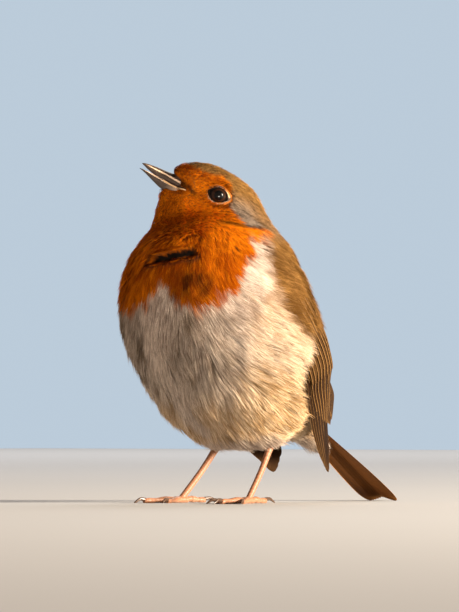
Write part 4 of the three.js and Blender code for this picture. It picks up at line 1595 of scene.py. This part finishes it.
# The painted highlight runs along the upper shell's side, higher towards the tip.
from_highlight = apart(tree, horn_rise, spread(tree, horn_back, -22, -14, 0.6, 0.36))
streak = times(tree, spread(tree, from_highlight, 0.13, 0.04), minus(tree, 1.0, horn_lower))
base = times(tree, times(tree, spread(tree, horn_back, -20, -14), 0.5), horn_lower)
pale_horn_and_highlight = calculate(tree, "MAXIMUM", calculate(tree, "MAXIMUM", near_edge, streak), base)
colour = blend(tree, times(tree, pale_horn_and_highlight, spread(tree, horn_back, -29, -25.5)), horn, edge)
nostril = (horn_back, NOSTRIL_BACK, 0.75), (horn_rise, NOSTRIL_RISE, 0.12)
offsets = [calculate(tree, "DIVIDE", minus(tree, place, middle), size) for place, middle, size in nostril]
squares = [calculate(tree, "POWER", offset, 2) for offset in offsets]
pit = spread(tree, calculate(tree, "ADD", *squares), 1.6, 0.6)
colour = blend(tree, pit, colour, (0.004, 0.003, 0.002, 1))
mouth = blend(tree, streaks, (0.08, 0.02, 0.014, 1), (0.2, 0.07, 0.045, 1))
colour = blend(tree, calculate(tree, "GREATER_THAN", horn_half, 1.5), colour, mouth)
wire(tree, colour, shader["Base Color"])
wire(tree, spread(tree, streaks, 0, 1, 0.22, 0.42), shader["Roughness"])
roughen(tree, shader, streaks, 0.25, 0.0001)


# %% Shape of a bill's half
def curve(back, values, at):
    """A smooth run of values along the bill."""
    share = np.interp(at, back[::-1], np.linspace(1, 0, len(back)))
    return through(np.column_stack([back, values]), share)[:, 1]


def mandible(back, half_width, edge_up, ridge_up, keel_power):
    """Points, faces and stored places of half a bill."""
    share = np.linspace(0, 1, BILL_STATIONS) ** 0.8
    station = back[0] + (back[-1] - back[0]) * share
    width, edge, ridge = (curve(back, values, station)[:, None] for values in (half_width, edge_up, ridge_up))
    arc = np.linspace(0, math.pi, BILL_SECTION)[None]
    over = np.stack([width * np.cos(arc), edge + (ridge - edge) * np.sin(arc) ** keel_power], -1)
    arc = arc[:, 1:-1][:, ::-1]
    under = np.stack([width * 0.93 * np.cos(arc), edge + 0.16 * (ridge - edge) * np.sin(arc)], -1)
    across, up = np.moveaxis(np.concatenate([over, under], 1), -1, 0)
    around = across.shape[1]
    depth = np.repeat(station, around).reshape(-1, around)
    rise = (up - edge) / (ridge - edge)
    inner = np.broadcast_to(np.arange(around) >= BILL_SECTION, depth.shape)
    half = np.where(inner, 2.0, float(ridge_up[0] < edge_up[0]))
    ring = np.arange(around)
    ends = [ring[::-1][None], (ring + (BILL_STATIONS - 1) * around)[None]]
    triples = (across, depth, up), (depth, rise, half)
    points, places = (np.stack(triple, -1).reshape(-1, 3) for triple in triples)
    return points, [grid_faces(BILL_STATIONS, around, wrap=True), *ends], places


# %% Bill shells
BILL_HALVES = {
    "upper": (BILL_BACK, BILL_HALF_WIDTH, UPPER_EDGE_UP, CULMEN_UP, 0.85),
    "lower": (LOWER_BACK, LOWER_HALF_WIDTH, LOWER_EDGE_UP, KEEL_UP, 0.8),
}
for half_name, shape in BILL_HALVES.items():
    local, faces, places = mandible(*shape)
    if half_name == "upper":
        pit_back = (local[:, 1] - NOSTRIL_BACK) / 0.9
        pit_up = (places[:, 1] - NOSTRIL_RISE) / 0.16
        sink = 0.28 * np.exp(-(pit_back**2) - pit_up**2) * (places[:, 2] < 0.5)
        local[:, 0] -= np.sign(local[:, 0]) * sink
    node = f"bill_{half_name}"
    shell = new_piece(f"{node}_horn", on_head(local), faces, bill_finish, "bill", replaces=[node])
    keep(shell, "horn", places)

# %% [markdown]
# ## Corners of the mouth
# The horn ends in soft lips that run back over the cheek to below the eye. Between them is a fold,
# painted dark as shade. Each side is one strip that rests on the form, with a groove along its middle.

# %% Gape
GAPE_LIPS = [(-20.5, -1.75), (-18, -2.0), (-15.5, -2.1), (-13, -2.1), (-10.6, -2.3)]  # back and up
GAPE_HALF_HEIGHT, GAPE_BULGE = 0.5, 0.45
GAPE_ROWS, GAPE_COLUMNS = 40, 11

gape_finish, tree, shader = finish_with("gape lips", Roughness=0.4, Specular_IOR_Level=0.35)
fold = stored(tree, "fold")[0]
_, lip = mottle(tree, 1500, 3.0, (0.5, 0.3, 0.14, 1), (0.8, 0.56, 0.3, 1))
# From just below its middle upwards the strip is painted almost black, as shade in the fold.
wire(tree, blend(tree, spread(tree, fold, -0.3, 0.1), lip, (0.02, 0.008, 0.005, 1)), shader["Base Color"])


# %% Lips
def gape_strip(side):
    """A lip strip: rows along the mouth's line, and columns up across it, from -1 to 1."""
    share = np.linspace(0, 1, GAPE_ROWS)
    line = through(GAPE_LIPS, share)
    across = np.linspace(-1, 1, GAPE_COLUMNS)
    half = GAPE_HALF_HEIGHT * np.sqrt(1 - 0.95 * share**4)
    back = np.repeat(line[:, 0], GAPE_COLUMNS)
    up = (line[:, 1:] + half[:, None] * across[None]).ravel()
    wide = np.interp(back, BILL_BACK[::-1], BILL_HALF_WIDTH[::-1])
    start = on_head(np.stack([side * wide, back, up], -1))
    groove = 0.35 * np.exp(-((across - 0.4) / 0.2) ** 2)
    bulge = np.outer(half / GAPE_HALF_HEIGHT, GAPE_BULGE * (1 - across**2) - groove).reshape(-1, 1)
    resting = settle(start, billows(start), 4)
    beyond = np.abs(in_head(resting)[:, 0]) > wide
    points = np.where(beyond[:, None], resting, start)
    return points + outwards(points) * bulge, np.tile(across, GAPE_ROWS)


for side_name, side in SIDES.items():
    points, across = gape_strip(side)
    faces = grid_faces(GAPE_ROWS, GAPE_COLUMNS)[:, ::side]
    strip = new_piece(f"gape_{side_name}", points, faces, gape_finish, "bill")
    keep(strip, "fold", across)

# %% [markdown]
# ## Legs and feet
# The thin part of a bird's leg is its long foot bone, covered in plates. Three toes point forward and
# one back. All are tubes along smooth paths that swell at each joint. The plates are shallow steps in
# the tube's own shape, with a finer grain from bump.

# %% Leg and claw finishes
leg_finish, tree, shader = finish_with("leg plates", Roughness=0.42, Specular_IOR_Level=0.4)
leg_along, leg_under, _ = stored(tree, "plates")
grain, flesh = mottle(tree, 1800, 4.0, (0.3, 0.11, 0.055, 1), (0.5, 0.26, 0.15, 1))
plate = calculate(tree, "FRACT", times(tree, leg_along, 0.62))
seam = times(tree, spread(tree, plate, 0.16, 0.0), 0.7)
flesh = blend(tree, times(tree, leg_under, 0.5), flesh, (0.5, 0.3, 0.18, 1))
wire(tree, blend(tree, seam, flesh, (0.16, 0.045, 0.022, 1)), shader["Base Color"])
height = calculate(tree, "MULTIPLY_ADD", spread(tree, plate, 0, 0.3), 1.5, grain)
roughen(tree, shader, height, 0.5, 0.00015)

claw_finish, tree, shader = finish_with("claw horn", Roughness=0.28, Specular_IOR_Level=0.5)
streaks, horn = mottle(tree, 1600, 4.0, (0.035, 0.02, 0.014, 1), (0.14, 0.08, 0.05, 1))
wire(tree, horn, shader["Base Color"])
roughen(tree, shader, streaks, 0.3, 0.0001)

# %% Legs and claws
INSTEP = np.array([15.0, 0.6, 3.0])
FOOT_TURN = math.radians(8)
SHANK = [(11.62, 16.1, 20.6), (13.3, 8.9, 11), (15, 0.6, 1.7), (15.1, 0.1, 1.1)]
PAD = [(-2.4, 0.95), (0.6, 1.1), (3.6, 0.95)]  # forward and up, like the steps of a toe
TOES = {  # turn in degrees, reach, length of claw and half thickness in mm
    "inner": (-27, 12, 4, 0.85),
    "middle": (0, 16, 4.4, 0.95),
    "outer": (25, 12.5, 4, 0.85),
    "hind": (180, 9.5, 6.2, 1.0),
}
PLATE_STEP, PLATE_SEAM = 1.6, 0.04  # mm from plate to plate, and the share by which the girth steps


# %% Paths and girths of a foot
def foot_path(turn, steps):
    """A path on the left foot that leaves the instep at `turn`, from pairs of forward and up."""
    angle = FOOT_TURN + math.radians(turn)
    x, y = INSTEP[0], INSTEP[1]
    return [(x + reach * math.sin(angle), y - reach * math.cos(angle), up) for reach, up in steps]


def round_end(share):
    """Rounds off the last of a tube's length."""
    return np.sqrt(1 - 0.98 * np.clip((share - 0.9) / 0.1, 0, 1) ** 2)


def shank_girth(thick, swelling):
    """Half thickness of a shank that swells to both ends."""
    return lambda t: thick * (1 + swelling * np.abs(2 * t - 1) ** 4) * round_end(t)


def pad_girth(thick, gain):
    """Half thickness of the pad under the toes' roots, rounded at both ends."""
    return lambda t: (thick + gain * t) * round_end(t) * round_end(1 - t)


def toe_girth(thick):
    """Half thickness of a toe that narrows and swells at each joint."""
    return lambda t: thick * (1.08 - 0.25 * t) * (1 + 0.13 * np.cos(6 * math.pi * t)) * round_end(t)


# %% Parts of a foot
def plated_tube(path, half_width, half_height, rows, around):
    """A tube whose girth steps down at each plate. Returns points, faces and stored places."""
    share = np.linspace(0, 1, rows)
    middle = through(path, share)
    length = np.append(0, np.cumsum(np.linalg.norm(np.diff(middle, axis=0), axis=1)))
    step = 1 + PLATE_SEAM * (0.5 - (length / PLATE_STEP) % 1)
    points, faces = tube(middle, half_width(share) * step, half_height(share) * step, around)
    along = np.append(np.repeat(length, around), [0, length[-1]])
    middle_up = np.append(np.repeat(middle[:, 2], around), [middle[0, 2], middle[-1, 2]])
    under = smoothstep(middle_up - points[:, 2], 0, 1)
    return points, faces, np.column_stack([along, under])


def foot_parts():
    """The plated parts of the left leg."""
    parts = [
        plated_tube(SHANK, shank_girth(0.96, 0.42), shank_girth(1.12, 0.38), 90, 20),
        plated_tube(foot_path(0, PAD), pad_girth(1.3, 0.7), pad_girth(1.15, 0), 24, 20),
    ]
    for turn, reach, _, thick in TOES.values():
        forward = [0.5, 0.35 * reach, 0.7 * reach, reach, reach + 0.5]
        up = [thick + more for more in (0.1, 0.25, -0.02, -0.18, -0.15)]
        girth = toe_girth(thick)
        parts.append(plated_tube(foot_path(turn, zip(forward, up)), girth, girth, 56, 18))
    return parts


def claw_parts():
    """The claws of the left foot."""
    parts = []
    share = np.linspace(0, 1, 30)
    half = 0.68 * (1 - share) ** 0.6 + 0.03
    for turn, reach, claw, thick in TOES.values():
        forward = [reach + more for more in (-0.8, 0.15 * claw, 0.5 * claw, 0.82 * claw, claw + 0.1)]
        up = [thick - 0.1, thick + 0.35, thick + 0.42, 0.62 * thick, 0.08]
        path = through(foot_path(turn, zip(forward, up)), share)
        parts.append(tube(path, half * 0.82, half * 1.08, 14))
    return parts


# %% Both feet
def foot_piece(name, side, parts, finish, slot, nodes):
    """One piece from parts of the left foot, put on its own side, with flat soles above the floor."""
    points, faces = joined(parts)
    points[:, 2] = np.maximum(points[:, 2], 0)
    return new_piece(name, points * [side, 1, 1], faces, finish, slot, replaces=nodes)


parts = foot_parts()
shapes, plates = [part[:2] for part in parts], np.vstack([part[2] for part in parts])
for side_name, side in SIDES.items():
    nodes = [f"leg_{side_name}"]
    leg = foot_piece(f"leg_plates_{side_name}", side, shapes, leg_finish, "leg", nodes)
    keep(leg, "plates", plates)
    nodes = [f"claw_{toe}_{side_name}" for toe in TOES]
    foot_piece(f"claws_{side_name}", side, claw_parts(), claw_finish, "claw", nodes)

# %% [markdown]
# ## The end
# The dressed bird must stay as large as the solid one. The last line brings the scene up to date.

# %% Bring the scene up to date
bpy.context.view_layer.update()
